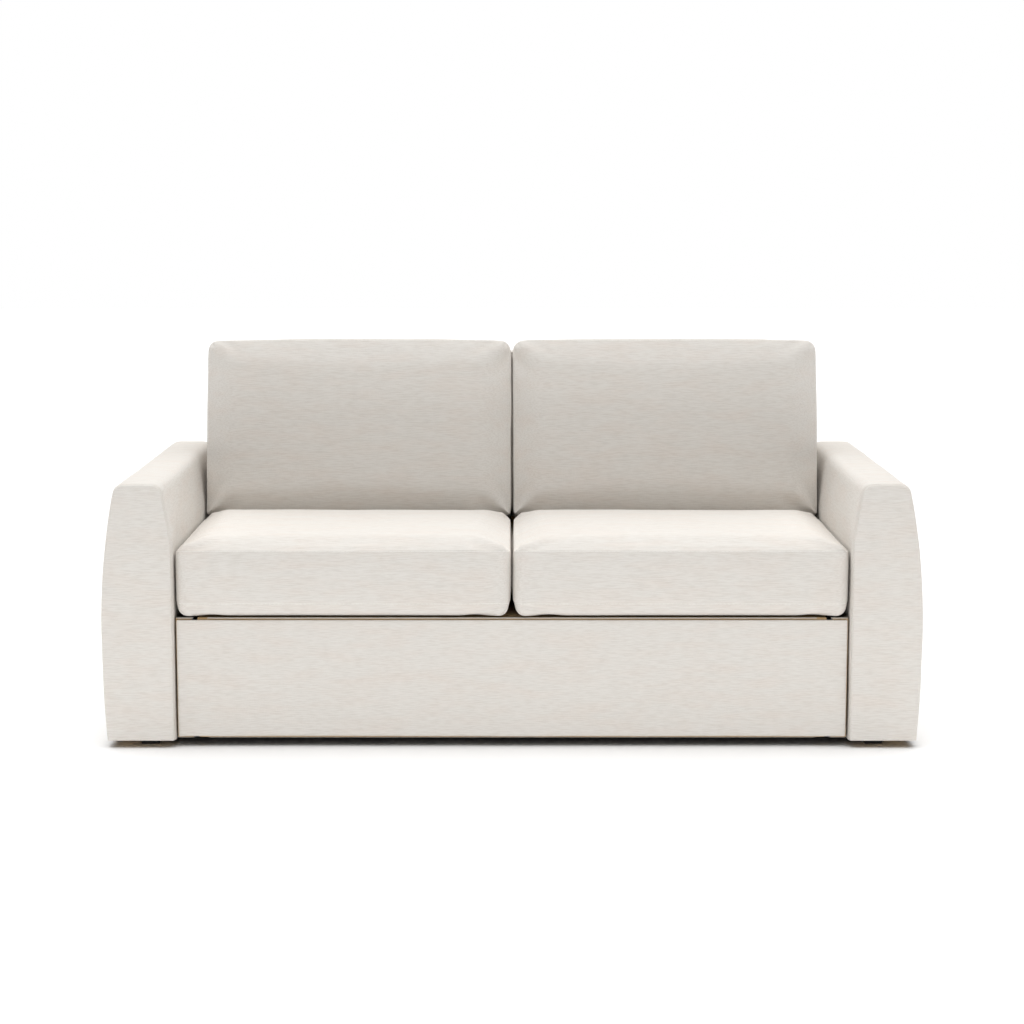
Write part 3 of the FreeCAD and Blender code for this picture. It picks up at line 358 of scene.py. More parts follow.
def zinc_steel():
    """Zinc plated steel of the links and plates: cool grey with faint cloudy patches."""
    material, fresh = new_material("zinc_plated_steel")
    if not fresh:
        return material
    where = add_node(material, "ShaderNodeTexCoord").outputs["Object"]
    clouds = add_node(material, "ShaderNodeTexNoise", inputs={"Vector": where, "Scale": 40.0, "Detail": 5.0})
    tint = ramp(material, clouds.outputs["Fac"], [(0.3, linear("9A9DA0")), (0.7, linear("C2C4C4"))])
    rough = add_node(material, "ShaderNodeMapRange",
                     inputs={"Value": clouds.outputs["Fac"], "To Min": 0.32, "To Max": 0.5})
    shader = add_node(material, "ShaderNodeBsdfPrincipled",
                      inputs={"Base Color": tint.outputs[0], "Metallic": 1.0, "Roughness": rough.outputs[0]})
    return finish_material(material, shader)


def powder_coat():
    """Black powder-coated steel tube and angle: satin with a fine orange peel."""
    return one_texture("black_powder_coated_steel", ("ShaderNodeTexNoise", {"Scale": 700.0}),
                       [(0.3, "191A1B"), (0.7, "242526")], 0.42, (0.2, 0.0003))


def studio_floor():
    """White painted studio floor, barely mottled."""
    return one_texture("white_studio_floor", ("ShaderNodeTexNoise", {"Scale": 2.0}),
                       [(0.3, "FDFDFD"), (0.7, colours().floor)], 0.9,
                       extra={"Specular IOR Level": 0.1})


# Soft forms


def between(low, high, cell, extra=()):
    """Places to cut a side: close together near both ends, about a cell apart between."""
    span = high - low
    close = [c * MM for c in (4, 9, 15, 23) if c * MM < span / 3]
    start = close[-1] if close else 0.0
    count = max(1, round((span - 2 * start) / cell))
    middle = [start + i * (span - 2 * start) / count for i in range(count + 1)]
    places = close[:-1] + middle + [span - c for c in close[:-1]] + list(extra)
    return sorted({round(p, 5) for p in places if 1e-4 < p < span - 1e-4})


def block(low, high, cell, extra=((), (), ())):
    """A block cut into a grid, with further cuts at given distances from its low corner."""
    bm = bmesh.new()
    bmesh.ops.create_cube(bm, size=1.0)
    bmesh.ops.scale(bm, vec=high - low, verts=bm.verts)
    bmesh.ops.translate(bm, vec=(low + high) / 2, verts=bm.verts)
    for axis in range(3):
        normal = Vector([1.0 if axis == i else 0.0 for i in range(3)])
        for place in between(low[axis], high[axis], cell, extra[axis]):
            parts = bm.verts[:] + bm.edges[:] + bm.faces[:]
            cut = normal * (low[axis] + place)
            bmesh.ops.bisect_plane(bm, geom=parts, plane_co=cut, plane_no=normal, dist=1e-6)
    return bm


def rounded(p, low, high, axes, corner, edges, open_low=False):
    """Where a point of a grid block lies once the block's corners and edges are rounded.

    The first two axes span the face whose corners are rounded, the third is its depth.
    edges are the radii along the sides of the first and of the second axis.
    """
    i, j, k = axes
    da = min(p[i] - low[i], high[i] - p[i])
    db = high[j] - p[j] if open_low else min(p[j] - low[j], high[j] - p[j])
    dc = min(p[k] - low[k], high[k] - p[k])
    edge = edges[0] + (edges[1] - edges[0]) * smoothstep(da - db, -24 * MM, 24 * MM)
    level = inset = min(da, db)
    depth = dc
    if level < edge and dc < edge:
        turn = math.radians(45) * (1 - (level - dc) / edge)
        inset = edge * (1 - math.sin(turn))
        depth = edge * (1 - math.cos(turn))
    if da < corner and db < corner:
        turn = math.radians(45) * (1 + (da - db) / (corner - level))
        a = corner - (corner - inset) * math.cos(turn)
        b = corner - (corner - inset) * math.sin(turn)
    elif da <= db:
        a, b = inset, db
    else:
        a, b = da, inset
    out = p.copy()
    out[i] = low[i] + a if p[i] - low[i] < high[i] - p[i] else high[i] - a
    out[j] = high[j] - b if open_low or p[j] - low[j] > high[j] - p[j] else low[j] + b
    out[k] = low[k] + depth if p[k] - low[k] < high[k] - p[k] else high[k] - depth
    return out


def smoothstep(value, start, end):
    t = min(1.0, max(0.0, (value - start) / (end - start)))
    return t * t * (3 - 2 * t)


def ripple(point, size, offset=0.0):
    """Smooth noise from -1 to 1 with lumps of a given size."""
    return noise.noise(point / size + SEED * (1 + offset))


def as_object(bm, name, material, level=1):
    """A smooth-shaded object from a bmesh, with its subdivision applied."""
    bmesh.ops.recalc_face_normals(bm, faces=bm.faces)
    mesh = bpy.data.meshes.new(name)
    bm.to_mesh(mesh)
    bm.free()
    obj = bpy.data.objects.new(name, mesh)
    bpy.context.scene.collection.objects.link(obj)
    mesh.materials.append(material)
    if level:
        smooth = obj.modifiers.new("smooth", "SUBSURF")
        smooth.levels = level
        smooth.render_levels = level
        bake(obj)
    obj.data.polygons.foreach_set("use_smooth", [True] * len(obj.data.polygons))
    return obj


def bake(obj):
    """Apply the modifiers of an object to its mesh."""
    graph = bpy.context.evaluated_depsgraph_get()
    mesh = bpy.data.meshes.new_from_object(obj.evaluated_get(graph))
    obj.modifiers.clear()
    obj.data = mesh


def swell(bm, held, cap):
    """Blow up a cover with simulated cloth, held at its seams, and keep each move under a cap."""
    mesh = bpy.data.meshes.new("swell")
    bm.verts.index_update()
    bm.to_mesh(mesh)
    obj = bpy.data.objects.new("swell", mesh)
    scene = bpy.context.scene
    scene.collection.objects.link(obj)
    group = obj.vertex_groups.new(name="held")
    for index, weight in held.items():
        group.add([index], weight, "REPLACE")
    modifier = obj.modifiers.new("cloth", "CLOTH")
    settings = modifier.settings
    settings.quality = 4
    settings.mass = 0.3
    settings.tension_stiffness = 20
    settings.compression_stiffness = 20
    settings.shear_stiffness = 6
    settings.bending_stiffness = 1.5
    settings.use_pressure = True
    settings.uniform_pressure_force = SWELL_PRESSURE
    settings.vertex_group_mass = "held"
    settings.effector_weights.gravity = 0
    modifier.collision_settings.use_collision = False
    modifier.point_cache.frame_start = 1
    modifier.point_cache.frame_end = SWELL_FRAMES
    for number in range(1, SWELL_FRAMES + 1):
        scene.frame_set(number)
    graph = bpy.context.evaluated_depsgraph_get()
    swollen = bpy.data.meshes.new_from_object(obj.evaluated_get(graph))
    for vert, after in zip(bm.verts, swollen.vertices):
        move = after.co - vert.co
        vert.co += move * min(1.0, cap / max(move.length, 1e-9))
    bpy.data.objects.remove(obj)
    bpy.data.meshes.remove(mesh)
    bpy.data.meshes.remove(swollen)
    scene.frame_set(1)


def thread(name, points, body, closed=True):
    """A topstitched seam: a thin thread that dips into the cloth between stitches."""
    s = sizes()
    curve = bpy.data.curves.new(name, "CURVE")
    curve.dimensions = "3D"
    curve.bevel_depth = s.stitch_width / 2
    curve.bevel_resolution = 1
    spline = curve.splines.new("POLY")
    spline.points.add(len(points) - 1)
    spline.use_cyclic_u = closed
    for number, (bead, point) in enumerate(zip(spline.points, points)):
        bead.co = (*point, 1.0)
        bead.radius = 1.0 if number % 3 else 0.55
    obj = bpy.data.objects.new(name, curve)
    bpy.context.scene.collection.objects.link(obj)
    curve.materials.append(polyester_thread())
    mesh = bpy.data.meshes.new_from_object(obj.evaluated_get(bpy.context.evaluated_depsgraph_get()))
    bpy.data.objects.remove(obj)
    piece = bpy.data.objects.new(name, mesh)
    bpy.context.scene.collection.objects.link(piece)
    mesh.polygons.foreach_set("use_smooth", [True] * len(mesh.polygons))
    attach(piece, body)
    return piece


def spaced(points, pitch):
    """Points a pitch apart along a closed line."""
    result = []
    wanted = 0.0
    travelled = 0.0
    for a, b in zip(points, points[1:] + points[:1]):
        step = (b - a).length
        while step > 1e-9 and wanted <= travelled + step:
            result.append(a.lerp(b, (wanted - travelled) / step))
            wanted += pitch
        travelled += step
    return result


def loop_points(obj, indices, axes):
    """Places of marked vertices in order round their middle."""
    places = [obj.data.vertices[i].co.copy() for i in indices]
    i, j = axes
    ci = (min(p[i] for p in places) + max(p[i] for p in places)) / 2
    cj = (min(p[j] for p in places) + max(p[j] for p in places)) / 2
    half_i = max(abs(p[i] - ci) for p in places)
    half_j = max(abs(p[j] - cj) for p in places)
    places.sort(key=lambda p: math.atan2((p[j] - cj) / half_j, (p[i] - ci) / half_i))
    return places


# Cushions


def cushion(name, low, high, seams, edges, corners, crown, bellies, cap, seed, place, body):
    """A boxed foam cushion built lying flat, then put in place by a matrix.

    low and high are its box at the seams, seams the heights of the two sewn lines.
    edges are the radii of its lower and upper edges, corners and bellies the radii and
    the swelling at its low and its high end.
    """
    near = [s + d * MM for s in seams for d in (-6, -2.5, 0, 2.5, 6)]
    bm = block(low, high, CUSHION_CELL, ((), (), near))
    mid = (low + high) / 2
    half = (high - low) / 2
    rows = {}
    for vert in bm.verts:
        flat = vert.co.copy()
        level = min(half.x - abs(flat.x - mid.x), half.y - abs(flat.y - mid.y))
        end = 0 if flat.y < mid.y else 1
        p = rounded(flat, low, high, (0, 1, 2), corners[end], edges[0 if flat.z < mid.z else 1])
        across = max(0.0, 1 - abs((flat.x - mid.x) / half.x) ** 3)
        along = max(0.0, 1 - abs((flat.y - mid.y) / half.y) ** 3)
        rise = (flat.z - mid.z) / half.z
        if rise > 0:
            p.z += rise * crown * math.sqrt(across * along)
        bulge = bellies[end] * (1 - rise * rise)
        p.x += bulge * 0.25 * (p.x - mid.x) / half.x * along
        p.y += bulge * (p.y - mid.y) / half.y * across
        vert.co = p
        if level < 1e-6:
            for number, height in enumerate(seams):
                if abs(flat.z - low.z - height) < 1e-5:
                    rows.setdefault(number, []).append(vert)
    bm.verts.index_update()
    swell(bm, {v.index: SEAM_HOLD for row in rows.values() for v in row}, cap)
    bm.normal_update()
    heights = {n: sum(v.co.z for v in row) / len(row) for n, row in rows.items()}
    for vert in bm.verts:
        p = vert.co
        gap = min(abs(p.z - h) for h in heights.values())
        inner = min(half.x - abs(p.x - mid.x), half.y - abs(p.y - mid.y))
        pucker = math.exp(-(gap / (16 * MM)) ** 2) * (1 - smoothstep(inner, 8 * MM, 30 * MM))
        lift = 0.9 * MM * pucker * ripple(p, 24 * MM, seed)
        lift += 1.5 * MM * ripple(p, 210 * MM, seed + 1)
        lift += 0.5 * MM * ripple(p, 60 * MM, seed + 2)
        vert.co = p + vert.normal * lift
        vert.co.z = max(vert.co.z, low.z - REST_DIP)
    marks = []
    for number, row in sorted(rows.items()):
        for vert in row:
            vert.co -= vert.normal * SEAM_SINK
        marks.append([v.index for v in row])
    bmesh.ops.transform(bm, matrix=place, verts=bm.verts)
    obj = as_object(bm, name, linen())
    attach(obj, body)
    return obj, marks


def linen():
    return linen_weave("linen_weave_cloth")


class SOFA_OT_seat_cushions(bpy.types.Operator):
    """Build the two seat cushions"""

    bl_idname = "sofa.seat_cushions"
    bl_label = "Seat cushions"

    def execute(self, context):
        s = sizes()
        low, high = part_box("seat_cushion_right")
        for side, word in SIDES.items():
            half_x = (high.x - low.x) / 2
            half_y = (high.y - low.y) / 2
            shrink = 2 * MM
            box_low = Vector((-half_x + shrink, -half_y + shrink, 0))
            box_high = Vector((half_x - shrink, half_y - shrink, s.seat_height + 6 * MM))
            middle = Vector((side * (low.x + high.x) / 2, (low.y + high.y) / 2, low.z))
            place = Matrix.Translation(middle)
            seams = (s.seat_seam - 2 * MM, s.seat_height - 8 * MM)
            edges = ((17 * MM, 17 * MM), (26 * MM, 15 * MM))
            corners = (26 * MM, 26 * MM)
            obj, marks = cushion("seat_cushion_cover_" + word, box_low, box_high, seams, edges, corners,
                                 9 * MM, (1 * MM, 1 * MM), 9 * MM, 3 + side, place, "seat_platform")
            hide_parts("seat_cushion_" + word)
            for number, mark in enumerate(marks):
                points = spaced(loop_points(obj, mark, (0, 1)), s.stitch_length / 2)
                thread("seat_seam_%s_%d" % (word, number + 1), points, "seat_platform")
        return {"FINISHED"}


class SOFA_OT_back_cushions(bpy.types.Operator):
    """Build the two back cushions"""

    bl_idname = "sofa.back_cushions"
    bl_label = "Back cushions"

    def execute(self, context):
        s = sizes()
        low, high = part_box("back_cushion_right")
        pad_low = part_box("inside_back_pad")[0]
        foot_z = 452 * MM
        slope = math.tan(s.back_lean)
        back_y = pad_low.y + (foot_z - pad_low.z) * slope
        for side, word in SIDES.items():
            half_x = (high.x - low.x) / 2 - 2 * MM
            half_h = s.back_height / 2
            box_low = Vector((-half_x, -half_h - 8 * MM, 1 * MM))
            box_high = Vector((half_x, half_h, s.back_thickness + 4 * MM))
            lift = Matrix.Translation(Vector((0, 0, half_h)))
            stand = Matrix.Rotation(math.radians(90), 4, "X")
            lean = Matrix.Rotation(-s.back_lean, 4, "X")
            spot = Matrix.Translation(Vector((side * (low.x + high.x) / 2, back_y, foot_z)))
            place = spot @ lean @ lift @ stand
            seams = (14 * MM, s.back_thickness - 10 * MM)
            edges = ((20 * MM, 20 * MM), (20 * MM, 16 * MM))
            corners = (9 * MM, 26 * MM)
            obj, marks = cushion("back_cushion_cover_" + word, box_low, box_high, seams, edges, corners,
                                 13 * MM, (0.0, 14 * MM), 10 * MM, 9 + side, place, "sofa_frame")
            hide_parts("back_cushion_" + word)
            for number, mark in enumerate(marks):
                points = spaced(loop_points(obj, mark, (0, 2)), s.stitch_length / 2)
                thread("back_seam_%s_%d" % (word, number + 1), points, "sofa_frame")
        return {"FINISHED"}


def arm_warp(p, low, high):
    """Lean and bow an upright block into the arm's outline, right side."""
    s = sizes()
    height = p.z - low.z
    top = high.z - low.z
    share = smoothstep(p.x, low.x + 40 * MM, high.x - 40 * MM)
    if height > s.arm_belly:
        outer = s.arm_bow * ((height - s.arm_belly) / (top - s.arm_belly)) ** 2
    else:
        outer = s.arm_foot_bow * (1 - height / s.arm_belly) ** 2
    inner = s.arm_flare * max(0.0, height - s.arm_flare_height) / (top - s.arm_flare_height)
    return Vector((p.x + inner * (1 - share) - (outer - 2.5 * MM) * share, p.y, p.z))


class SOFA_OT_arms(bpy.types.Operator):
    """Build the padded covers and facings of both arms"""

    bl_idname = "sofa.arms"
    bl_label = "Arms"

    def execute(self, context):
        s = sizes()
        low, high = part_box("arm_cover_right")
        facing_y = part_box("arm_front_panel_right")[0].y
        for side, word in SIDES.items():
            bm = block(low, high, COVER_CELL, ((), (4 * MM, 10 * MM), ()))
            for vert in bm.verts:
                flat = vert.co.copy()
                p = rounded(flat, low, high, (0, 2, 1), s.arm_radius, (9 * MM, 9 * MM), open_low=True)
                p = arm_warp(p, low, high)
                p.y = flat.y if flat.y < low.y + 1e-5 else p.y
                p.x += ARM_SIDE_PADDING * smoothstep(flat.x, low.x + 40 * MM, high.x)
                vert.co = p
            bm.normal_update()
            for vert in bm.verts:
                lift = 1.2 * MM * ripple(vert.co, 190 * MM, side) + 0.4 * MM * ripple(vert.co, 60 * MM, side)
                if vert.co.z > low.z + 5 * MM:
                    vert.co += vert.normal * (lift + 0.4 * MM)
            bottom = [f for f in bm.faces if f.normal.z < -0.9 and f.calc_center_median().z < low.z + 1 * MM]
            bmesh.ops.delete(bm, geom=bottom, context="FACES")
            if side == LEFT:
                bmesh.ops.scale(bm, vec=(-1, 1, 1), verts=bm.verts)
            obj = as_object(bm, "arm_cover_cloth_" + word, linen())
            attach(obj, "sofa_frame")
            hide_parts("arm_cover_" + word)
            face_low = Vector((low.x, facing_y, low.z))
            face_high = Vector((high.x, low.y - 0.5 * MM, high.z))
            bm = block(face_low, face_high, FACING_CELL)
            for vert in bm.verts:
                flat = vert.co.copy()
                p = rounded(flat, face_low, face_high, (0, 2, 1), s.arm_radius, (8 * MM, 8 * MM),
                            open_low=True)
                p = arm_warp(p, face_low, face_high)
                p.x += ARM_SIDE_PADDING * smoothstep(flat.x, low.x + 40 * MM, high.x)
                vert.co = p
            bm.normal_update()
            for vert in bm.verts:
                if vert.co.z > low.z + 5 * MM:
                    vert.co += vert.normal * 0.8 * MM * ripple(vert.co, 120 * MM, side + 4)
            if side == LEFT:
                bmesh.ops.scale(bm, vec=(-1, 1, 1), verts=bm.verts)
            obj = as_object(bm, "arm_facing_" + word, linen())
            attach(obj, "sofa_frame")
            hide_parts("arm_front_panel_" + word)
        return {"FINISHED"}


class SOFA_OT_front_rail(bpy.types.Operator):
    """Build the padded cover of the front rail"""

    bl_idname = "sofa.front_rail"
    bl_label = "Front rail cover"

    def execute(self, context):
        low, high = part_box("front_rail_cover")
        bm = block(low, high, COVER_CELL)
        for vert in bm.verts:
            vert.co = rounded(vert.co, low, high, (0, 2, 1), 5 * MM, (6 * MM, 9 * MM))
        bm.normal_update()
        for vert in bm.verts:
            if vert.co.y < high.y - 2 * MM:
                lift = 1.0 * MM * ripple(vert.co, 230 * MM, 5) + 0.4 * MM * ripple(vert.co, 70 * MM, 6)
                vert.co += vert.normal * lift * (1 - 0.7 * smoothstep(vert.co.z, 240 * MM, 265 * MM))
        obj = as_object(bm, "front_rail_cloth", linen())
        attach(obj, "front_rail")
        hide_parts("front_rail_cover")
        board_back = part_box("front_rail_board")[1].y
        wrap = 1.4 * MM
        rail_low, rail_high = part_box("seat_side_rail_right")
        inner = rail_low.x - 4 * MM
        outer = rail_high.x + 4 * MM
        lips = []
        for word, start in (("top", high.z + 0.05 * MM), ("foot", low.z - 0.05 * MM - wrap)):
            lips.append((word, start, -inner, inner))
            lips.append((word + "_left", start, low.x, -outer))
            lips.append((word + "_right", start, outer, high.x))
        for name, start, near_x, far_x in lips:
            lip_low = Vector((near_x, low.y + 7 * MM, start))
            lip_high = Vector((far_x, board_back - 0.5 * MM, start + wrap))
            bm = block(lip_low, lip_high, FACING_CELL)
            for vert in bm.verts:
                vert.co = rounded(vert.co, lip_low, lip_high, (0, 1, 2), 3 * MM, (0.6 * MM, 0.6 * MM))
            obj = as_object(bm, "front_rail_wrap_" + name, linen())
            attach(obj, "front_rail")
        return {"FINISHED"}


class SOFA_OT_back(bpy.types.Operator):
    """Build the outside back and the inside back pad"""

    bl_idname = "sofa.back"
    bl_label = "Back"

    def execute(self, context):
        s = sizes()
        pad_low, pad_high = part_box("inside_back_pad")
        low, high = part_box("outside_back_cover")
        slope = math.tan(s.back_lean)
        post_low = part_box("back_posts")[0]
        step = pad_low.z - low.z
        shell_low = Vector((low.x, post_low.y, low.z))
        bm = block(shell_low, high, COVER_CELL, ((), (), (step - 1 * MM, step)))
        for vert in bm.verts:
            p = vert.co
            depth = (high.y - p.y) / (high.y - shell_low.y)
            if p.z > pad_low.z - 0.5 * MM:
                front = pad_low.y + (p.z - pad_low.z) * slope
                p.y = high.y - depth * (high.y - front)
        doomed = []
        for face in bm.faces:
            middle = face.calc_center_median()
            inside = abs(middle.x) < high.x - 1 * MM
            if inside and middle.y < high.y - 5 * MM and middle.z < high.z - 1 * MM:
                doomed.append(face)
        bmesh.ops.delete(bm, geom=doomed, context="FACES")
        obj = as_object(bm, "outside_back_cloth", linen(), 0)
        shell = obj.modifiers.new("shell", "SOLIDIFY")
        shell.thickness = 3.5 * MM
        shell.offset = -1
        bevel = obj.modifiers.new("bevel", "BEVEL")
        bevel.width = 3 * MM
        bevel.segments = 2
        bevel.limit_method = "ANGLE"
        bake(obj)
        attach(obj, "sofa_frame")
        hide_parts("outside_back_cover")
        thick = 20 * MM / math.cos(s.back_lean)
        flat_high = Vector((pad_high.x, pad_low.y + thick, pad_high.z))
        bm = block(pad_low, flat_high, 30 * MM)
        for vert in bm.verts:
            p = rounded(vert.co, pad_low, flat_high, (0, 2, 1), 3 * MM, (3 * MM, 3 * MM))
            p.y += (p.z - pad_low.z) * slope
            vert.co = p
        obj = as_object(bm, "inside_back_padding", linen())
        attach(obj, "sofa_frame")
        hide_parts("inside_back_pad")
        return {"FINISHED"}


def folded(depth, height, reach):
    """Where a point of the open mattress lies when it is folded at a hinge.

    The point is given from the hinge. Within reach of the fold the cloth and foam
    turn smoothly, as the bend between the two bodies does.
    """
    radius = math.hypot(depth, height)
    angle = math.degrees(math.atan2(height, depth))
    crease = math.degrees(math.asin(min(1.0, reach / radius)))
    turned = angle - 90
    if angle <= 45 - crease:
        turned = angle
    elif angle < 135 + crease:
        low, high = 0.0, 1.0
        for _ in range(40):
            t = (low + high) / 2
            lean = math.degrees(math.asin(max(-1.0, min(1.0, reach * (2 * t - 1) / radius))))
            low, high = (t, high) if 45 + lean + 90 * t * t * (3 - 2 * t) < angle else (low, t)
        turned = 45 + lean
    return radius * math.cos(math.radians(turned)), radius * math.sin(math.radians(turned))


class SOFA_OT_mattress(bpy.types.Operator):
    """Build the quilted mattress in two pieces that bend over the hinges"""

    bl_idname = "sofa.mattress"
    bl_label = "Mattress"

    def execute(self, context):
        pin_low, pin_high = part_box("rail_hinge_pins")
        body_low, body_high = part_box("mattress_body")
        foot_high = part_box("mattress_foot")[1]
        head = (pin_high.y - pin_low.y) / 2
        hinge_y = pin_low.y + head
        lower, upper = pin_low.z + head, pin_high.z - head
        reach = 3 * MM
        parts = (
            ("mattress_head_part", lower, 1, body_high.y, body_low.z - lower, "bed_platform",
             ("mattress_body", "mattress_bend")),
            ("mattress_foot_part", upper, -1, foot_high.y, upper - foot_high.z, "seat_platform",
             ("mattress_foot",)),
        )
        for name, hinge_z, up, end_y, base, body, nodes in parts:
            low = Vector((body_low.x, -(upper - lower) / 2, base + 0.3 * MM))
            high = Vector((body_high.x, end_y - hinge_y, base + body_high.z - body_low.z - 0.2 * MM))
            fold_cuts = [8 * MM * n for n in range(1, 30)]
            bm = block(low, high, 22 * MM, ((), fold_cuts, ()))
            for vert in bm.verts:
                vert.co = rounded(vert.co, low, high, (0, 1, 2), 25 * MM, (13 * MM, 13 * MM), open_low=True)
            bm.normal_update()
            for vert in bm.verts:
                p = vert.co
                u = (p.x + p.y) / (150 * MM)
                v = (p.x - p.y) / (150 * MM)
                line = min(abs(u - round(u)), abs(v - round(v))) * 106 * MM
                edge = min(p.x - low.x, high.x - p.x, high.y - p.y)
                quilt = 3.2 * MM * math.exp(-(line / (13 * MM)) ** 2) * smoothstep(edge, 10 * MM, 40 * MM)
                girdle = 1 - smoothstep(abs(p.z - (low.z + high.z) / 2), 10 * MM, 30 * MM)
                waist = 1.5 * MM * (1 - smoothstep(edge, 0.0, 6 * MM)) * girdle
                vert.co = p - vert.normal * (quilt * abs(vert.normal.z) + waist * (1 - abs(vert.normal.z)))
            obj = as_object(bm, name, quilted_ticking())
            for vert in obj.data.vertices:
                y, z = folded(vert.co.y, vert.co.z, reach)
                vert.co = Vector((vert.co.x, hinge_y + y, hinge_z + up * z))
            if up < 0:
                obj.data.flip_normals()
            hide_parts(*nodes)
            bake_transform(obj)
        return {"FINISHED"}


def cloth_sheet(name, node, body, material, sag, thickness):
    """A thin cloth in the plane of a flat CAD node, with a little slack."""
    low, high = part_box(node)
    size = high - low
    bm = bmesh.new()
    bmesh.ops.create_grid(bm, x_segments=48, y_segments=28, size=0.5)
    bmesh.ops.scale(bm, vec=(size.x, size.y, 1), verts=bm.verts)
    middle = (low + high) / 2
    bmesh.ops.translate(bm, vec=(middle.x, middle.y, high.z - thickness), verts=bm.verts)
    for vert in bm.verts:
        across = 1 - (2 * (vert.co.x - low.x) / size.x - 1) ** 2
        along = 1 - (2 * (vert.co.y - low.y) / size.y - 1) ** 2
        vert.co.z -= sag * across * along * (1 + 0.25 * ripple(vert.co, 120 * MM, 2))
    obj = as_object(bm, name, material, 0)
    weave = obj.modifiers.new("thickness", "SOLIDIFY")
    weave.thickness = thickness
    weave.offset = 0
    bake(obj)
    obj.data.polygons.foreach_set("use_smooth", [True] * len(obj.data.polygons))
    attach(obj, body)
    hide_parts(node)
    return obj


class SOFA_OT_sheets(bpy.types.Operator):
    """Build the dust cover under the sofa and the deck under the mattress"""

    bl_idname = "sofa.sheets"
    bl_label = "Dust cover and bed deck"

    def execute(self, context):
        cloth_sheet("dust_cover_cloth", "dust_cover", "sofa_frame", black_cloth(),
                    2 * MM, 0.6 * MM)
        cloth_sheet("bed_deck_cloth", "bed_deck", "bed_platform", black_cloth(),
                    1 * MM, 1.2 * MM)
        return {"FINISHED"}


class SOFA_OT_straps(bpy.types.Operator):
    """Build the elastic straps of the back and the felt strips under the seat cushions"""

    bl_idname = "sofa.straps"
    bl_label = "Straps and strips"

    def execute(self, context):
        s = sizes()
        low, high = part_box("back_webbing")
        slope = math.tan(s.back_lean)
        width = 60 * MM
        count = 8
        step = (high.x - low.x - width) / (count - 1)
        thick = 2 * MM / math.cos(s.back_lean)
        for number in range(count):
            x = low.x + number * step
            strap_low = Vector((x, low.y, low.z))
            strap_high = Vector((x + width, low.y + thick, high.z))
            bm = block(strap_low, strap_high, 12 * MM)
            for vert in bm.verts:
                edge = min(vert.co.x - x, x + width - vert.co.x)
                vert.co.y += (vert.co.z - low.z) * slope + 0.2 * MM * math.cos(edge / (2 * MM))
            obj = as_object(bm, "back_strap_%d" % (number + 1), woven_webbing())
            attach(obj, "sofa_frame")
            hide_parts("back_webbing")
        low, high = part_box("cushion_strips")
        width = 40 * MM
        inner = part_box("seat_side_rail_right")[1].x - 120 * MM
        for side, word in SIDES.items():
            for number, x in enumerate((80 * MM, inner)):
                middle = side * x
                strip_low = Vector((middle - width / 2, low.y, low.z))
                strip_high = Vector((middle + width / 2, high.y, high.z))
                bm = block(strip_low, strip_high, 10 * MM)
                for vert in bm.verts:
                    p = rounded(vert.co, strip_low, strip_high, (0, 1, 2), 3 * MM, (1.5 * MM, 1.5 * MM))
                    fuzz = 0.15 * MM * ripple(p, 8 * MM, number)
                    vert.co = p + Vector((0, 0, -abs(fuzz) if p.z > (low.z + high.z) / 2 else abs(fuzz)))
                obj = as_object(bm, "cushion_strip_%s_%d" % (word, number + 1), black_cloth())
                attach(obj, "seat_platform")
                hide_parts("cushion_strips")
        return {"FINISHED"}


class SOFA_OT_finishes(bpy.types.Operator):
    """Give every remaining part its finish"""

    bl_idname = "sofa.finishes"
    bl_label = "Finishes"

    def execute(self, context):
        makers = {
            "upholstery": linen,
            "mattress_ticking": quilted_ticking,
            "black_cloth": black_cloth,
            "webbing": woven_webbing,
            "plywood": lambda: timber("birch_plywood", "D9BE93", "C4A272", 0, 12 * MM),
            "softwood": lambda: timber("planed_softwood", "DDBF8C", "C29B63", 2, 9 * MM),
            "black_plastic": moulded_plastic,
            "zinc_steel": zinc_steel,
            "painted_steel": powder_coat,
        }
        slots = {part["node"]: part["material_slot"] for part in frame["record"]["subparts"]}
        for name, obj in frame["nodes"].items():
            material = makers[slots[name]]()
            for holder in obj.material_slots:
                holder.material = material
            if not obj.material_slots:
                obj.data.materials.append(material)
        return {"FINISHED"}


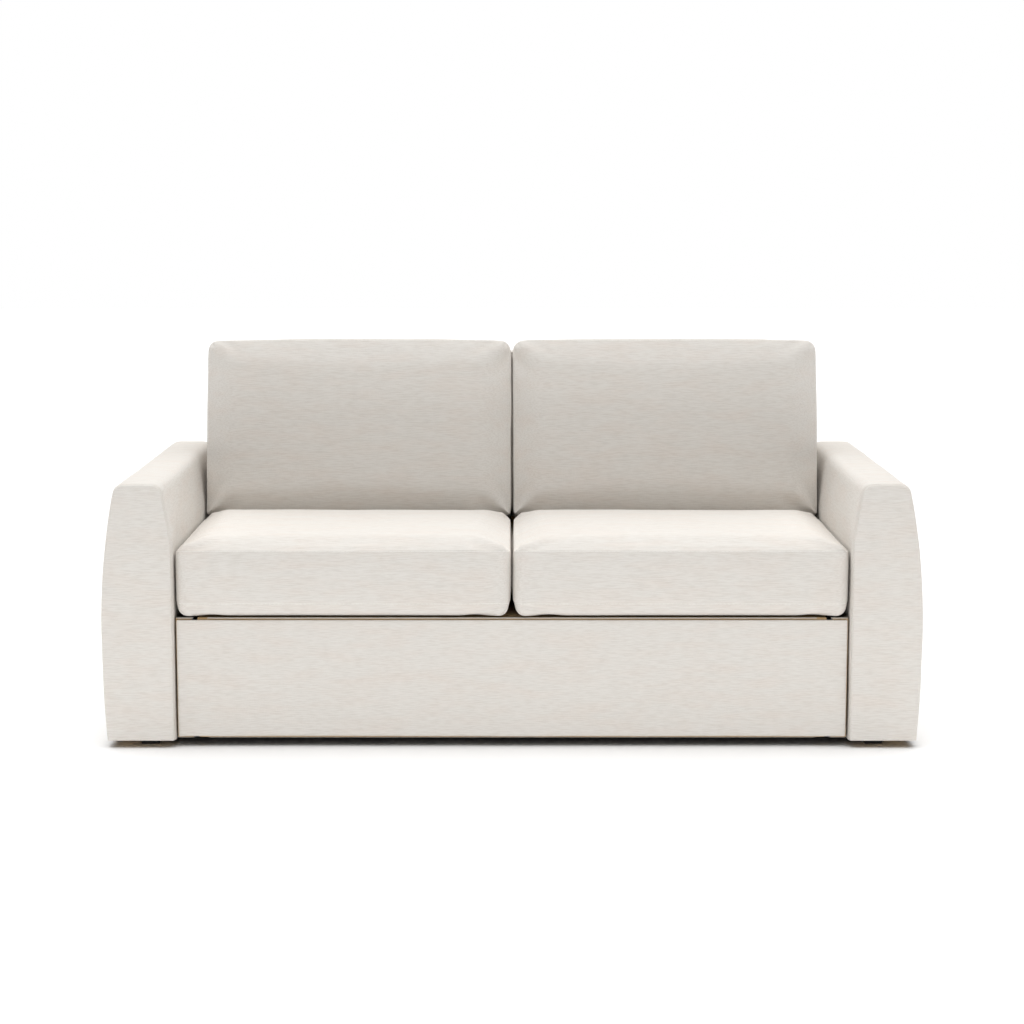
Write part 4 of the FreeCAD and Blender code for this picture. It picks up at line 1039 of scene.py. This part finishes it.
class SOFA_OT_stage(bpy.types.Operator):
    """Set up the floor, the background, the lights and the camera"""

    bl_idname = "sofa.stage"
    bl_label = "Stage"

    def execute(self, context):
        scene = context.scene
        scene.view_settings.view_transform = "Standard"
        camera = bpy.data.objects.new("camera", bpy.data.cameras.new("camera"))
        camera.data.lens = CAMERA_LENS
        camera.data.sensor_width = 36.0
        camera.location = CAMERA_PLACE
        camera.rotation_euler = (math.radians(90 - CAMERA_DOWN), 0.0, 0.0)
        scene.collection.objects.link(camera)
        scene.camera = camera
        bm = bmesh.new()
        bmesh.ops.create_grid(bm, x_segments=2, y_segments=2, size=FLOOR_SIZE)
        floor = as_object(bm, "studio_floor", studio_floor(), 0)
        scene.world = bpy.data.worlds.new("studio")
        scene.world.use_nodes = True
        tree = scene.world.node_tree
        tree.nodes.clear()
        path = tree.nodes.new("ShaderNodeLightPath")
        seen = tree.nodes.new("ShaderNodeMath")
        seen.operation = "MAXIMUM"
        tree.links.new(path.outputs["Is Camera Ray"], seen.inputs[0])
        tree.links.new(path.outputs["Is Transmission Ray"], seen.inputs[1])
        level = tree.nodes.new("ShaderNodeMapRange")
        level.inputs["To Min"].default_value = ROOM_LIGHT
        level.inputs["To Max"].default_value = 1.0
        tree.links.new(seen.outputs[0], level.inputs["Value"])
        white = tree.nodes.new("ShaderNodeBackground")
        white.inputs["Color"].default_value = (1.0, 1.0, 1.0, 1.0)
        tree.links.new(level.outputs[0], white.inputs["Strength"])
        out = tree.nodes.new("ShaderNodeOutputWorld")
        tree.links.new(white.outputs[0], out.inputs["Surface"])
        sun = bpy.data.lights.new("overhead_light", "SUN")
        sun.energy = OVERHEAD_ENERGY
        sun.angle = math.radians(OVERHEAD_SPREAD)
        holder = bpy.data.objects.new("overhead_light", sun)
        holder.rotation_euler = (math.radians(OVERHEAD_LEAN), 0.0, 0.0)
        scene.collection.objects.link(holder)
        fill = bpy.data.lights.new("low_front_softbox", "AREA")
        fill.shape = "RECTANGLE"
        fill.size = FILL_WIDTH
        fill.size_y = FILL_HEIGHT
        fill.energy = FILL_ENERGY
        holder = bpy.data.objects.new("low_front_softbox", fill)
        holder.location = FILL_PLACE
        holder.rotation_euler = (math.radians(FILL_LEAN), 0.0, 0.0)
        holder.visible_camera = False
        scene.collection.objects.link(holder)
        unlit = bpy.data.collections.new("not_lit_by_fill")
        unlit.objects.link(floor)
        unlit.collection_objects[0].light_linking.link_state = "EXCLUDE"
        holder.light_linking.receiver_collection = unlit
        return {"FINISHED"}


class SOFA_PT_panel(bpy.types.Panel):
    """Sofa pieces and stage"""

    bl_idname = "SOFA_PT_panel"
    bl_label = "Sofa"
    bl_space_type = "VIEW_3D"
    bl_region_type = "UI"
    bl_category = "Sofa"

    def draw(self, context):
        for operator in OPERATORS:
            self.layout.operator(operator.bl_idname)


OPERATORS = (SOFA_OT_seat_cushions, SOFA_OT_back_cushions, SOFA_OT_arms, SOFA_OT_front_rail, SOFA_OT_back,
             SOFA_OT_mattress, SOFA_OT_sheets, SOFA_OT_straps, SOFA_OT_finishes, SOFA_OT_stage)
CLASSES = (SofaSizes, SofaColours, *OPERATORS, SOFA_PT_panel)


def register():
    for cls in CLASSES:
        bpy.utils.register_class(cls)
    bpy.types.Scene.sofa_sizes = bpy.props.PointerProperty(type=SofaSizes)
    bpy.types.Scene.sofa_colours = bpy.props.PointerProperty(type=SofaColours)


def unregister():
    del bpy.types.Scene.sofa_colours
    del bpy.types.Scene.sofa_sizes
    for cls in reversed(CLASSES):
        bpy.utils.unregister_class(cls)


def main():
    register()
    for operator in OPERATORS:
        name = operator.bl_idname.split(".")[1]
        getattr(bpy.ops.sofa, name)()


if __name__ == "__main__":
    main()
